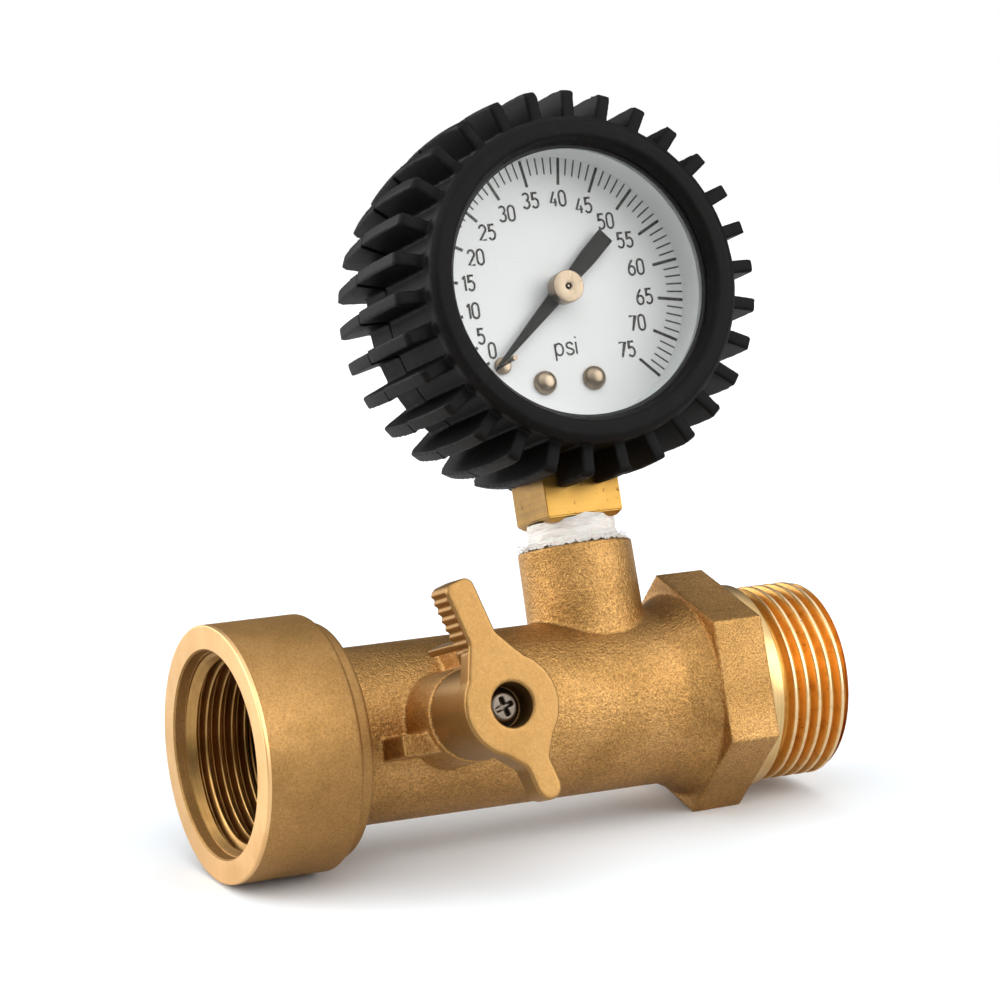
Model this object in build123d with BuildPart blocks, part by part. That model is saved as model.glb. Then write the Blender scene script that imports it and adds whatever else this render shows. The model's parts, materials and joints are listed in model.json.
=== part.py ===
from build123d import *
from math import cos, sin, radians, sqrt
import os

os.makedirs("parts", exist_ok=True)

# Water pressure regulator: in-line brass body, quarter-turn throttling ball, 0-75 psi gauge.
# X runs along the flow from the inlet face, Z up the gauge stem, -Y towards the user.

# ---- pipe thread, G 3/4 ----
thread_pitch = 1.814
thread_major = 13.22
thread_minor = 12.06
thread_flank = 0.604
thread_flat = 0.18

# ---- cast body ----
collar_radius = 16.86
collar_length = 13.45
step_radius = 15.6
step_end = 15.5
tube_radius = 11.65
hex_corner = 16.03
hex_start = 67.9
hex_end = 75.05
shoulder_radius = 13.85
shoulder_end = 77.0
neck_radius = 11.9
male_first_crest = 79.23
male_crests = 5
body_length = 87.6
counterbore_radius = 13.54
counterbore_depth = 1.55
female_first_crest = 2.5
female_crests = 5
washer_land = 12.8
washer_radius = 11.85
relief_radius = 13.3
ball_bore = 8.6
ball_bore_end = 36.6
waterway_radius = 6.5
outlet_bore = 9.3

# ---- valve ball and stem ----
stem_x = 28.3
ball_radius = 8.0
port_radius = 4.75
seat_inner = 5.2
seat_near = 4.7
seat_far = 8.25
seat_face = 8.03
stem_radius = 3.2
stem_bore = 3.25
flange_radius = 4.3
flange_bore = 4.4
flange_near = 8.3
flange_far = 9.5
flange_bore_end = 10.7
stem_boss_radius = 6.27
stem_boss_face = 19.0
ring_section = 0.5
ring_centre = 2.72
ring_depths = (13.0, 16.4)
square_side = 4.4
stem_end = 25.5

# ---- lever ----
lever_angle = 107.5
lever_rear = 19.1
lever_front = 30.8
skirt_radius = 6.05
plate_radius = 6.6
plate_rear = 28.0
arm_rear = 25.7
arm_length = 17.05
arm_width = 4.1
arm_corner = 1.25
short_arm_length = 13.0
short_arm_width = 3.5
short_arm_rear = 27.0
recess_radius = 2.85
recess_floor = 27.0
socket_end = 25.6
hub_blend = ((3.0, 5.4), (9.2, 2.05), (9.2, -2.05), (3.0, -5.4))
short_blend = ((-3.9, 4.9), (-3.9, -4.9), (-8.0, -1.75), (-8.0, 1.75))
screw_head_radius = 2.1
screw_head_height = 1.3
screw_head_round = 0.6
screw_shank_radius = 1.22
screw_tip = 21.0
screw_hole_radius = 1.35
slot_length = 2.5
slot_width = 0.55
square_clearance = 0.1
groove_first = 8.8
groove_step = 1.16
groove_count = 7
groove_radius = 0.42
tab_inner = 8.6
tab_outer = 9.65
tab_width = 2.4
tab_rear = 16.4
lug_face = 17.5
lug_reach = 9.7
lug_width = 2.7

# ---- gauge boss, socket and case ----
boss_x = 56.12
boss_radius = 7.61
boss_top = 21.25
boss_bore = 5.2
socket_thread = 5.1
socket_root = 4.55
socket_bottom = 24.6
socket_side = 11.0
gauge_height = 55.2
gauge_yaw = 3.4
case_radius = 20.0
case_inner = 19.2
case_back = -7.0
case_front = 14.6
case_wall = 0.8
dial_radius = 19.1
dial_back = 7.4
dial_front = 7.9
spacer_inner = 18.3
window_back = 13.0
boot_drum = 21.8
boot_bore = 20.05
boot_front = 17.5
boot_back = -8.6
lip_radius = 22.0
lip_opening = 19.2
fin_count = 30
fin_tip = 26.1
fin_thickness = 1.8
fin_front = 14.6
fin_back = -12.6
boot_rear_opening = 12.0
boot_clearance = 0.05
boot_edge = 0.8
boot_flank_back = -7.4
lip_back = 15.5
lip_groove = 15.0
lip_ledge = 0.9
dome_edge = 18.6
dome_crown = 17.6
dome_inner = 16.6
dome_shoulder = 18.0
dome_wall = 1.5
fin_foot_front = 20.6
fin_foot_rear = 20.4
fin_corner = 0.5
fin_bulge = 0.05
fin_crest_at = 2.0
fin_rear_tip = 24.3
fin_rear_corner = 23.4
fin_heel = 20.2
fin_heel_rise = 3.0
boot_socket_gap = 0.4
boot_socket_drop = 27.0
boot_socket_depth = 9.0
bezel_inner = 17.65
bezel_thickness = 0.7

# ---- gauge movement ----
gear_pitch_small = 1.2
gear_pitch_large = 8.4
gear_teeth_small = 12
gear_teeth_large = 84
tooth_rise = 0.12
tooth_fall = 0.2
tooth_root_half = 0.13
tooth_tip_half = 0.05
pointer_rest = 221.6
pointer_travel = 266.6
link_radius = 4.5
tip_point = (-13.3, -7.7)
pillar_places = ((-5.2, 3.0), (5.2, 3.0), (-5.2, -12.0), (5.2, -12.0))
rivet_places = ((-4.05, -12.2), (3.15, -12.2))
stop_screw_place = (-9.83, -9.37)
stop_peg_place = (-8.45, -8.62)

# ---- working frames ----
def turned(plane, angle):
    """The same plane with its X direction turned about its own normal, in degrees."""
    aim = plane.x_dir * cos(radians(angle)) + plane.y_dir * sin(radians(angle))
    return Plane(origin=plane.origin, x_dir=tuple(aim), z_dir=tuple(plane.z_dir))


lever_plane = Plane(origin=(stem_x, 0, 0), x_dir=(1, 0, 0), z_dir=(0, -1, 0))
arm_plane = turned(lever_plane, lever_angle)
yaw = radians(gauge_yaw)
gauge_plane = Plane(
    origin=(boss_x, 0, gauge_height),
    x_dir=(cos(yaw), -sin(yaw), 0),
    z_dir=(-sin(yaw), -cos(yaw), 0),
)
socket_plane = Plane(origin=(boss_x, 0, 0), x_dir=(cos(yaw), -sin(yaw), 0), z_dir=(0, 0, 1))
sector_pivot = (0.0, -(gear_pitch_small + gear_pitch_large))
sector_travel = pointer_travel * gear_teeth_small / gear_teeth_large
sector_rest = 90.0 - sector_travel / 2
link_pin_place = (
    sector_pivot[0] + link_radius * cos(radians(sector_rest)),
    sector_pivot[1] + link_radius * sin(radians(sector_rest)),
)


def thread_rings(first, count, foot, crown):
    """Profile points of parallel thread ridges, from the first ridge to the last."""
    points = []
    for ridge in range(count):
        middle = first + ridge * thread_pitch
        points.append((middle - thread_flat - thread_flank, foot))
        points.append((middle - thread_flat, crown))
        points.append((middle + thread_flat, crown))
        points.append((middle + thread_flat + thread_flank, foot))
    return points


def polar(radius, angle):
    """Point at a radius and an angle in degrees."""
    return (radius * cos(radians(angle)), radius * sin(radians(angle)))


def tooth(radius, angle):
    """Four corners of one small gear tooth standing on a pitch circle."""
    out = polar(1.0, angle)
    side = (-out[1], out[0])
    root = radius - tooth_fall
    tip = radius + tooth_rise
    return [
        (out[0] * root - side[0] * tooth_root_half, out[1] * root - side[1] * tooth_root_half),
        (out[0] * tip - side[0] * tooth_tip_half, out[1] * tip - side[1] * tooth_tip_half),
        (out[0] * tip + side[0] * tooth_tip_half, out[1] * tip + side[1] * tooth_tip_half),
        (out[0] * root + side[0] * tooth_root_half, out[1] * root + side[1] * tooth_root_half),
    ]


# ---- valve body: one casting, turned threads at both ends ----
male_rings = thread_rings(male_first_crest, male_crests, thread_minor, thread_major)
female_rings = thread_rings(female_first_crest, female_crests, thread_major, thread_minor)
outer_profile = (
    [(0, 0), (0, collar_radius - 0.5), (0.5, collar_radius)]
    + [(collar_length - 0.3, collar_radius), (collar_length, collar_radius - 0.3)]
    + [(collar_length, step_radius), (step_end, step_radius), (step_end, tube_radius)]
    + [(hex_end, tube_radius), (hex_end, shoulder_radius), (shoulder_end, shoulder_radius)]
    + [(shoulder_end, neck_radius), (male_rings[0][0] - 0.1, neck_radius)]
    + male_rings
    + [(body_length - 0.1, thread_minor), (body_length, thread_minor - 0.1), (body_length, 0)]
)
inner_profile = (
    [(0, 0), (0, counterbore_radius + 0.35), (0.35, counterbore_radius)]
    + [(counterbore_depth, counterbore_radius), (counterbore_depth, thread_major)]
    + female_rings
    + [(female_rings[-1][0] + 0.1, relief_radius), (washer_land, relief_radius)]
    + [(washer_land, ball_bore), (ball_bore_end, ball_bore), (ball_bore_end, waterway_radius)]
    + [(69.0, waterway_radius), (71.8, outlet_bore), (body_length, outlet_bore), (body_length, 0)]
)
with BuildPart() as valve_body:
    with BuildSketch(Plane.XZ):
        with BuildLine():
            Polyline(*outer_profile, close=True)
        make_face()
    revolve(axis=Axis.X)
    # hexagon for the spanner, one corner straight up
    with BuildSketch(Plane.YZ.offset(hex_start)):
        RegularPolygon(radius=hex_corner, side_count=6, rotation=30)
    extrude(amount=hex_end - hex_start)
    # stem boss and the two stops the lever tab meets
    with BuildSketch(lever_plane):
        Circle(stem_boss_radius)
    extrude(amount=stem_boss_face)
    with BuildSketch(lever_plane.offset(7.0)):
        with Locations((-(lug_reach + 4.5) / 2, -1.4 - lug_width / 2)):
            Rectangle(lug_reach - 4.5, lug_width)
        with Locations((1.35 + lug_width / 2, (lug_reach + 4.5) / 2)):
            Rectangle(lug_width, lug_reach - 4.5)
    extrude(amount=lug_face - 7.0)
    # gauge boss
    with BuildSketch(socket_plane):
        Circle(boss_radius)
    extrude(amount=boss_top)
    # waterway from end to end
    with BuildSketch(Plane.XZ):
        with BuildLine():
            Polyline(*inner_profile, close=True)
        make_face()
    revolve(axis=Axis.X, mode=Mode.SUBTRACT)
    with BuildSketch(lever_plane):
        Circle(stem_bore)
    extrude(amount=stem_boss_face, mode=Mode.SUBTRACT)
    with BuildSketch(lever_plane):
        Circle(flange_bore)
    extrude(amount=flange_bore_end, mode=Mode.SUBTRACT)
    with BuildSketch(socket_plane):
        Circle(boss_bore)
    extrude(amount=boss_top, mode=Mode.SUBTRACT)
valve_body.part.label = "valve_body"
export_step(valve_body.part, "parts/valve_body.step")

# ---- inlet washer against the land behind the female thread ----
with BuildPart() as inlet_washer:
    with BuildSketch(Plane.YZ.offset(washer_land - 1.85)):
        Circle(washer_radius)
        Circle(8.0, mode=Mode.SUBTRACT)
    extrude(amount=1.8)
    fillet(inlet_washer.edges().filter_by(GeomType.CIRCLE).group_by(Axis.X)[0], 0.3)
inlet_washer.part.label = "inlet_washer"
export_step(inlet_washer.part, "parts/inlet_washer.step")

# ---- slotted ring that holds the inlet seat ----
with BuildPart() as seat_retainer:
    with BuildSketch(Plane.YZ.offset(14.0)):
        Circle(ball_bore - 0.05)
        Circle(5.6, mode=Mode.SUBTRACT)
    extrude(amount=stem_x - seat_far - 14.05)
    with BuildSketch(Plane.YZ.offset(14.0)):
        Rectangle(2 * ball_bore, 1.6)
    extrude(amount=1.4, mode=Mode.SUBTRACT)
seat_retainer.part.label = "seat_retainer"
export_step(seat_retainer.part, "parts/seat_retainer.step")

# ---- ball seats ----
with BuildPart() as inlet_seat:
    with BuildSketch(Plane.YZ.offset(stem_x - seat_far)):
        Circle(ball_bore - 0.05)
        Circle(seat_inner, mode=Mode.SUBTRACT)
    extrude(amount=seat_far - seat_near)
    with Locations((stem_x, 0, 0)):
        Sphere(seat_face, mode=Mode.SUBTRACT)
inlet_seat.part.label = "inlet_seat"
export_step(inlet_seat.part, "parts/inlet_seat.step")

with BuildPart() as outlet_seat:
    with BuildSketch(Plane.YZ.offset(stem_x + seat_near)):
        Circle(ball_bore - 0.05)
        Circle(seat_inner, mode=Mode.SUBTRACT)
    extrude(amount=seat_far - seat_near)
    with Locations(Location((stem_x, 0, 0), (0, 0, 180))):
        Sphere(seat_face, mode=Mode.SUBTRACT)
outlet_seat.part.label = "outlet_seat"
export_step(outlet_seat.part, "parts/outlet_seat.step")

# ---- ball: the port lies along the lever's long arm, the slot across it ----
with BuildPart() as valve_ball:
    with Locations((stem_x, 0, 0)):
        Sphere(ball_radius)
    port_plane = Plane(origin=(stem_x, 0, 0), x_dir=(0, 1, 0), z_dir=tuple(arm_plane.x_dir))
    with BuildSketch(port_plane):
        Circle(port_radius)
    extrude(amount=ball_radius, both=True, mode=Mode.SUBTRACT)
    with BuildSketch(arm_plane.offset(6.2)):
        Rectangle(3.0, 2 * ball_radius)
    extrude(amount=ball_radius, mode=Mode.SUBTRACT)
valve_ball.part.label = "valve_ball"
export_step(valve_ball.part, "parts/valve_ball.step")

# ---- stem: tang in the ball, flange inside the wall, square for the lever ----
with BuildPart() as valve_stem:
    with BuildSketch(arm_plane.offset(6.3)):
        Rectangle(2.8, 6.4)
    extrude(amount=flange_near - 6.3)
    with BuildSketch(arm_plane.offset(flange_near)):
        Circle(flange_radius)
    extrude(amount=flange_far - flange_near)
    with BuildSketch(arm_plane.offset(flange_far)):
        Circle(stem_radius)
    extrude(amount=lever_rear - 0.1 - flange_far)
    with BuildSketch(arm_plane.offset(lever_rear - 0.1)):
        Rectangle(square_side, square_side)
    extrude(amount=stem_end - lever_rear + 0.1)
    for depth in ring_depths:
        with BuildSketch(arm_plane.offset(depth - ring_section - 0.05)):
            Circle(stem_radius)
            Circle(ring_centre - ring_section - 0.02, mode=Mode.SUBTRACT)
        extrude(amount=2 * ring_section + 0.1, mode=Mode.SUBTRACT)
    with BuildSketch(arm_plane.offset(20.4)):
        Circle(1.25)
    extrude(amount=stem_end - 20.4, mode=Mode.SUBTRACT)
valve_stem.part.label = "valve_stem"
export_step(valve_stem.part, "parts/valve_stem.step")

with BuildPart() as stem_washer:
    with BuildSketch(arm_plane.offset(flange_far + 0.02)):
        Circle(flange_radius)
        Circle(stem_radius + 0.05, mode=Mode.SUBTRACT)
    extrude(amount=flange_bore_end - flange_far - 0.04)
stem_washer.part.label = "stem_washer"
export_step(stem_washer.part, "parts/stem_washer.step")

with BuildPart() as stem_ring_inner:
    with Locations(arm_plane.offset(ring_depths[0])):
        Torus(ring_centre, ring_section)
stem_ring_inner.part.label = "stem_ring_inner"
export_step(stem_ring_inner.part, "parts/stem_ring_inner.step")

with BuildPart() as stem_ring_outer:
    with Locations(arm_plane.offset(ring_depths[1])):
        Torus(ring_centre, ring_section)
stem_ring_outer.part.label = "stem_ring_outer"
export_step(stem_ring_outer.part, "parts/stem_ring_outer.step")

# ---- lever handle ----
with BuildPart() as lever_handle:
    with BuildSketch(arm_plane.offset(lever_rear)):
        Circle(skirt_radius)
    extrude(amount=lever_front - lever_rear - 1.0)
    with BuildSketch(arm_plane.offset(plate_rear)):
        Circle(plate_radius)
    extrude(amount=lever_front - plate_rear)
    # long arm with rounded corners, and its thinner blend into the hub
    with BuildSketch(arm_plane.offset(arm_rear)):
        with Locations((arm_length / 2, 0)):
            RectangleRounded(arm_length, arm_width, arm_corner)
    extrude(amount=lever_front - arm_rear)
    with BuildSketch(arm_plane.offset(plate_rear)):
        Polygon(*hub_blend, align=None)
    extrude(amount=lever_front - plate_rear)
    # short arm with a round end
    with BuildSketch(arm_plane.offset(short_arm_rear)):
        with Locations((-(short_arm_length - short_arm_width / 2) / 2, 0)):
            SlotCenterToCenter(short_arm_length - short_arm_width / 2, short_arm_width)
        Polygon(*short_blend, align=None)
    extrude(amount=lever_front - short_arm_rear)
    # tab that meets the stops on the body
    with BuildSketch(arm_plane.offset(tab_rear)):
        with Locations(((tab_inner + tab_outer) / 2, 0)):
            Rectangle(tab_outer - tab_inner, tab_width)
    extrude(amount=arm_rear - tab_rear)
    # screw recess, clearance hole and the square socket for the stem
    with BuildSketch(arm_plane.offset(recess_floor)):
        Circle(recess_radius)
    extrude(amount=lever_front - recess_floor, mode=Mode.SUBTRACT)
    with BuildSketch(arm_plane.offset(lever_rear)):
        Circle(screw_hole_radius)
    extrude(amount=recess_floor - lever_rear, mode=Mode.SUBTRACT)
    with BuildSketch(arm_plane.offset(lever_rear)):
        Rectangle(square_side + square_clearance, square_side + square_clearance)
    extrude(amount=socket_end - lever_rear, mode=Mode.SUBTRACT)
    # finger grooves on the side that faces the inlet
    with BuildSketch(arm_plane.offset(arm_rear)):
        with Locations([(groove_first + groove_step * k, arm_width / 2 + 0.15) for k in range(groove_count)]):
            Circle(groove_radius)
    extrude(amount=lever_front - arm_rear - 0.6, mode=Mode.SUBTRACT)
lever_handle.part.label = "lever_handle"
export_step(lever_handle.part, "parts/lever_handle.step")

# ---- cross-head screw in the lever ----
with BuildPart() as handle_screw:
    with BuildSketch(arm_plane.offset(recess_floor + 0.02)):
        Circle(screw_head_radius)
    extrude(amount=screw_head_height)
    fillet(handle_screw.edges().filter_by(GeomType.CIRCLE).group_by(Axis.Y)[0], screw_head_round)
    with BuildSketch(arm_plane.offset(screw_tip)):
        Circle(screw_shank_radius)
    extrude(amount=recess_floor + 0.02 - screw_tip)
    with BuildSketch(arm_plane.offset(recess_floor + 0.5)):
        Rectangle(slot_length, slot_width)
        Rectangle(slot_width, slot_length)
    extrude(amount=1.0, mode=Mode.SUBTRACT)
handle_screw.part.label = "handle_screw"
export_step(handle_screw.part, "parts/handle_screw.step")

# ---- sealing tape showing between the boss and the gauge socket ----
with BuildPart() as thread_tape:
    with BuildSketch(socket_plane.offset(boss_top + 0.02)):
        Circle(6.2)
        Circle(socket_thread + 0.05, mode=Mode.SUBTRACT)
    extrude(amount=socket_bottom - boss_top - 0.04)
    upper_rims = thread_tape.edges().filter_by(GeomType.CIRCLE).group_by(Axis.Z)[-1]
    fillet(upper_rims.sort_by(SortBy.RADIUS)[-1], 0.8)
thread_tape.part.label = "thread_tape"
export_step(thread_tape.part, "parts/thread_tape.step")

# ---- gauge socket: tapered-thread stub, square shank and the block inside the case ----
stub_profile = [(0, 12.0), (socket_root - 0.1, 12.0)]
for ridge in range(9):
    stub_profile.append((socket_root, 12.4 + 0.94 * ridge))
    stub_profile.append((socket_thread, 12.8 + 0.94 * ridge))
    stub_profile.append((socket_root, 13.2 + 0.94 * ridge))
stub_profile.append((socket_root + 0.2, socket_bottom))
stub_profile.append((0, socket_bottom))
stub_plane = Plane(origin=(boss_x, 0, 0), x_dir=(1, 0, 0), z_dir=(0, -1, 0))
with BuildPart() as gauge_socket:
    with BuildSketch(stub_plane):
        with BuildLine():
            Polyline(*stub_profile, close=True)
        make_face()
    revolve(axis=Axis((boss_x, 0, 0), (0, 0, 1)))
    with BuildSketch(socket_plane.offset(socket_bottom)):
        Rectangle(socket_side, socket_side)
    extrude(amount=11.0)
    chamfer(gauge_socket.faces().filter_by(Axis.Z).group_by(Axis.Z)[-2].edges().filter_by(GeomType.LINE), 0.5)
    with BuildSketch(gauge_plane.offset(-5.2)):
        with Locations((0, -16.1)):
            Rectangle(9.0, 7.0)
    extrude(amount=5.6)
    with BuildSketch(socket_plane.offset(12.0)):
        Circle(1.6)
    extrude(amount=26.0, mode=Mode.SUBTRACT)
gauge_socket.part.label = "gauge_socket"
export_step(gauge_socket.part, "parts/gauge_socket.step")

# ---- gauge case: round steel cup with a hole for the socket ----
with BuildPart() as gauge_case:
    with BuildSketch(gauge_plane.offset(case_back)):
        Circle(case_radius)
    extrude(amount=case_front - case_back)
    with BuildSketch(gauge_plane.offset(case_back + case_wall)):
        Circle(case_inner)
    extrude(amount=case_front - case_back, mode=Mode.SUBTRACT)
    with BuildSketch(socket_plane.offset(gauge_height - 22.0)):
        Rectangle(socket_side + 0.1, socket_side + 0.1)
    extrude(amount=8.0, mode=Mode.SUBTRACT)
    with BuildSketch(gauge_plane.offset(case_back)):
        with Locations((-2.6, -13.9), (2.6, -13.9)):
            Circle(1.05)
        with Locations((0, 10.5)):
            Circle(3.0)
    extrude(amount=case_wall, mode=Mode.SUBTRACT)
gauge_case.part.label = "gauge_case"
export_step(gauge_case.part, "parts/gauge_case.step")

with BuildPart() as case_screw_left:
    with BuildSketch(gauge_plane.offset(case_back - 0.02)):
        with Locations((-2.6, -13.9)):
            Circle(1.7)
    extrude(amount=-1.0)
    with BuildSketch(gauge_plane.offset(case_back - 0.02)):
        with Locations((-2.6, -13.9)):
            Circle(1.0)
    extrude(amount=1.8)
    with BuildSketch(gauge_plane.offset(case_back - 1.02)):
        with Locations((-2.6, -13.9)):
            Rectangle(3.6, 0.5)
    extrude(amount=0.5, mode=Mode.SUBTRACT)
case_screw_left.part.label = "case_screw_left"
export_step(case_screw_left.part, "parts/case_screw_left.step")

with BuildPart() as case_screw_right:
    with BuildSketch(gauge_plane.offset(case_back - 0.02)):
        with Locations((2.6, -13.9)):
            Circle(1.7)
    extrude(amount=-1.0)
    with BuildSketch(gauge_plane.offset(case_back - 0.02)):
        with Locations((2.6, -13.9)):
            Circle(1.0)
    extrude(amount=1.8)
    with BuildSketch(gauge_plane.offset(case_back - 1.02)):
        with Locations((2.6, -13.9)):
            Rectangle(3.6, 0.5)
    extrude(amount=0.5, mode=Mode.SUBTRACT)
case_screw_right.part.label = "case_screw_right"
export_step(case_screw_right.part, "parts/case_screw_right.step")

with BuildPart() as vent_plug:
    with BuildSketch(gauge_plane.offset(case_back - 0.02)):
        with Locations((0, 10.5)):
            Circle(3.8)
    extrude(amount=-1.2)
    with BuildSketch(gauge_plane.offset(case_back - 0.02)):
        with Locations((0, 10.5)):
            Circle(2.95)
    extrude(amount=1.6)
vent_plug.part.label = "vent_plug"
export_step(vent_plug.part, "parts/vent_plug.step")

# ---- Bourdon tube: flattened tube curled behind the movement ----
with BuildPart() as bourdon_tube:
    tube_start = turned(gauge_plane, -72.0)
    tube_section = Plane(origin=tube_start.origin, x_dir=tube_start.x_dir, z_dir=tube_start.y_dir)
    with BuildSketch(tube_section):
        with Locations((15.4, 2.8)):
            SlotOverall(4.4, 1.6, rotation=90)
    revolve(axis=Axis(gauge_plane.origin, gauge_plane.z_dir), revolution_arc=277.0)
bourdon_tube.part.label = "bourdon_tube"
export_step(bourdon_tube.part, "parts/bourdon_tube.step")

with BuildPart() as tube_tip:
    with BuildSketch(turned(gauge_plane, 209.9).offset(-5.0)):
        with Locations((15.4, 0)):
            Rectangle(2.4, 2.4)
    extrude(amount=7.5)
tube_tip.part.label = "tube_tip"
export_step(tube_tip.part, "parts/tube_tip.step")

# ---- movement plates and pillars ----
with BuildPart() as rear_plate:
    with BuildSketch(gauge_plane.offset(0.42)):
        with Locations((0, -4.5)):
            RectangleRounded(12.6, 18.0, 1.0)
    extrude(amount=0.8)
rear_plate.part.label = "rear_plate"
export_step(rear_plate.part, "parts/rear_plate.step")

with BuildPart() as front_plate:
    with BuildSketch(gauge_plane.offset(4.6)):
        with Locations((0, -4.5)):
            RectangleRounded(12.6, 18.0, 1.0)
        Circle(0.72, mode=Mode.SUBTRACT)
    extrude(amount=0.8)
front_plate.part.label = "front_plate"
export_step(front_plate.part, "parts/front_plate.step")

with BuildPart() as pillar_upper_left:
    with BuildSketch(gauge_plane.offset(1.24)):
        with Locations(pillar_places[0]):
            Circle(0.9)
    extrude(amount=3.34)
pillar_upper_left.part.label = "pillar_upper_left"
export_step(pillar_upper_left.part, "parts/pillar_upper_left.step")

with BuildPart() as pillar_upper_right:
    with BuildSketch(gauge_plane.offset(1.24)):
        with Locations(pillar_places[1]):
            Circle(0.9)
    extrude(amount=3.34)
pillar_upper_right.part.label = "pillar_upper_right"
export_step(pillar_upper_right.part, "parts/pillar_upper_right.step")

with BuildPart() as pillar_lower_left:
    with BuildSketch(gauge_plane.offset(1.24)):
        with Locations(pillar_places[2]):
            Circle(0.9)
    extrude(amount=3.34)
pillar_lower_left.part.label = "pillar_lower_left"
export_step(pillar_lower_left.part, "parts/pillar_lower_left.step")

with BuildPart() as pillar_lower_right:
    with BuildSketch(gauge_plane.offset(1.24)):
        with Locations(pillar_places[3]):
            Circle(0.9)
    extrude(amount=3.34)
pillar_lower_right.part.label = "pillar_lower_right"
export_step(pillar_lower_right.part, "parts/pillar_lower_right.step")

# ---- toothed sector, its arbor and the link that pulls it ----
pivot_plane = gauge_plane.shift_origin(gauge_plane.from_local_coords((sector_pivot[0], sector_pivot[1], 0)))
sector_pitch = 360.0 / gear_teeth_large
sector_angles = [90.0 - (number + 0.5) * sector_pitch for number in range(-2, 10)]
rim_outer = gear_pitch_large - tooth_fall + 0.02
rim_inner = rim_outer - 1.1
rim_points = [polar(rim_outer, sector_angles[0] + 2.0 - step * 4.6) for step in range(12)]
rim_points += [polar(rim_inner, sector_angles[0] + 2.0 - step * 4.6) for step in range(11, -1, -1)]
with BuildPart() as sector_gear:
    with BuildSketch(pivot_plane.offset(1.9)):
        Polygon(*rim_points, align=None)
        for angle in sector_angles:
            Polygon(*tooth(gear_pitch_large, angle), align=None)
        Circle(1.7)
        Polygon(polar(1.5, 160.0), polar(7.6, 86.0), polar(7.6, 56.0), polar(1.5, -20.0), align=None)
        Circle(0.62, mode=Mode.SUBTRACT)
    extrude(amount=0.6)
sector_gear.part.label = "sector_gear"
export_step(sector_gear.part, "parts/sector_gear.step")

with BuildPart() as sector_arbor:
    with BuildSketch(pivot_plane.offset(1.28)):
        Circle(0.6)
    extrude(amount=3.26)
sector_arbor.part.label = "sector_arbor"
export_step(sector_arbor.part, "parts/sector_arbor.step")

with BuildPart() as link_pin:
    with BuildSketch(gauge_plane.offset(2.52)):
        with Locations(link_pin_place):
            Circle(0.45)
    extrude(amount=0.9)
link_pin.part.label = "link_pin"
export_step(link_pin.part, "parts/link_pin.step")

link_reach = sqrt((tip_point[0] - link_pin_place[0]) ** 2 + (tip_point[1] - link_pin_place[1]) ** 2)
link_side = (
    -(tip_point[1] - link_pin_place[1]) / link_reach * 0.55,
    (tip_point[0] - link_pin_place[0]) / link_reach * 0.55,
)
with BuildPart() as link_bar:
    with BuildSketch(gauge_plane.offset(2.62)):
        Polygon(
            (link_pin_place[0] + link_side[0], link_pin_place[1] + link_side[1]),
            (tip_point[0] + link_side[0], tip_point[1] + link_side[1]),
            (tip_point[0] - link_side[0], tip_point[1] - link_side[1]),
            (link_pin_place[0] - link_side[0], link_pin_place[1] - link_side[1]),
            align=None,
        )
        with Locations(link_pin_place, tip_point):
            Circle(1.0)
            Circle(0.5, mode=Mode.SUBTRACT)
    extrude(amount=0.4)
link_bar.part.label = "link_bar"
export_step(link_bar.part, "parts/link_bar.step")

# ---- pinion arbor, hairspring, pointer and its hub ----
pinion_angles = [-90.0 + number * 360.0 / gear_teeth_small for number in range(gear_teeth_small)]
with BuildPart() as pinion_arbor:
    with BuildSketch(gauge_plane.offset(1.7)):
        Circle(gear_pitch_small - tooth_fall + 0.02)
        for angle in pinion_angles:
            Polygon(*tooth(gear_pitch_small, angle), align=None)
    extrude(amount=1.0)
    with BuildSketch(gauge_plane.offset(1.28)):
        Circle(0.65)
    extrude(amount=7.6)
pinion_arbor.part.label = "pinion_arbor"
export_step(pinion_arbor.part, "parts/pinion_arbor.step")

spring_outer = [polar(0.76 + 0.72 * step / 24, step * 15.0) for step in range(80)]
spring_inner = [polar(0.68 + 0.72 * step / 24, step * 15.0) for step in range(79, -1, -1)]
with BuildPart() as hairspring:
    with BuildSketch(gauge_plane.offset(3.6)):
        Polygon(*spring_outer, *spring_inner, align=None)
    extrude(amount=0.5)
hairspring.part.label = "hairspring"
export_step(hairspring.part, "parts/hairspring.step")

pointer_plane = turned(gauge_plane, pointer_rest)
with BuildPart() as pointer:
    with BuildSketch(pointer_plane.offset(8.9)):
        Polygon((0, 1.1), (14.95, 0.2), (14.95, -0.2), (0, -1.1), align=None)
        Polygon((0, 0.75), (0, -0.75), (-6.0, -1.2), (-10.15, -1.2), (-10.15, 1.2), (-6.0, 1.2), align=None)
        Circle(1.9)
    extrude(amount=0.3)
pointer.part.label = "pointer"
export_step(pointer.part, "parts/pointer.step")

with BuildPart() as pointer_hub:
    with BuildSketch(pointer_plane.offset(9.22)):
        Circle(2.19)
    extrude(amount=2.2)
    fillet(pointer_hub.edges().filter_by(GeomType.CIRCLE).group_by(Axis.Y)[0], 0.3)
    with BuildSketch(pointer_plane.offset(9.9)):
        Circle(0.75)
    extrude(amount=2.0, mode=Mode.SUBTRACT)
pointer_hub.part.label = "pointer_hub"
export_step(pointer_hub.part, "parts/pointer_hub.step")

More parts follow.
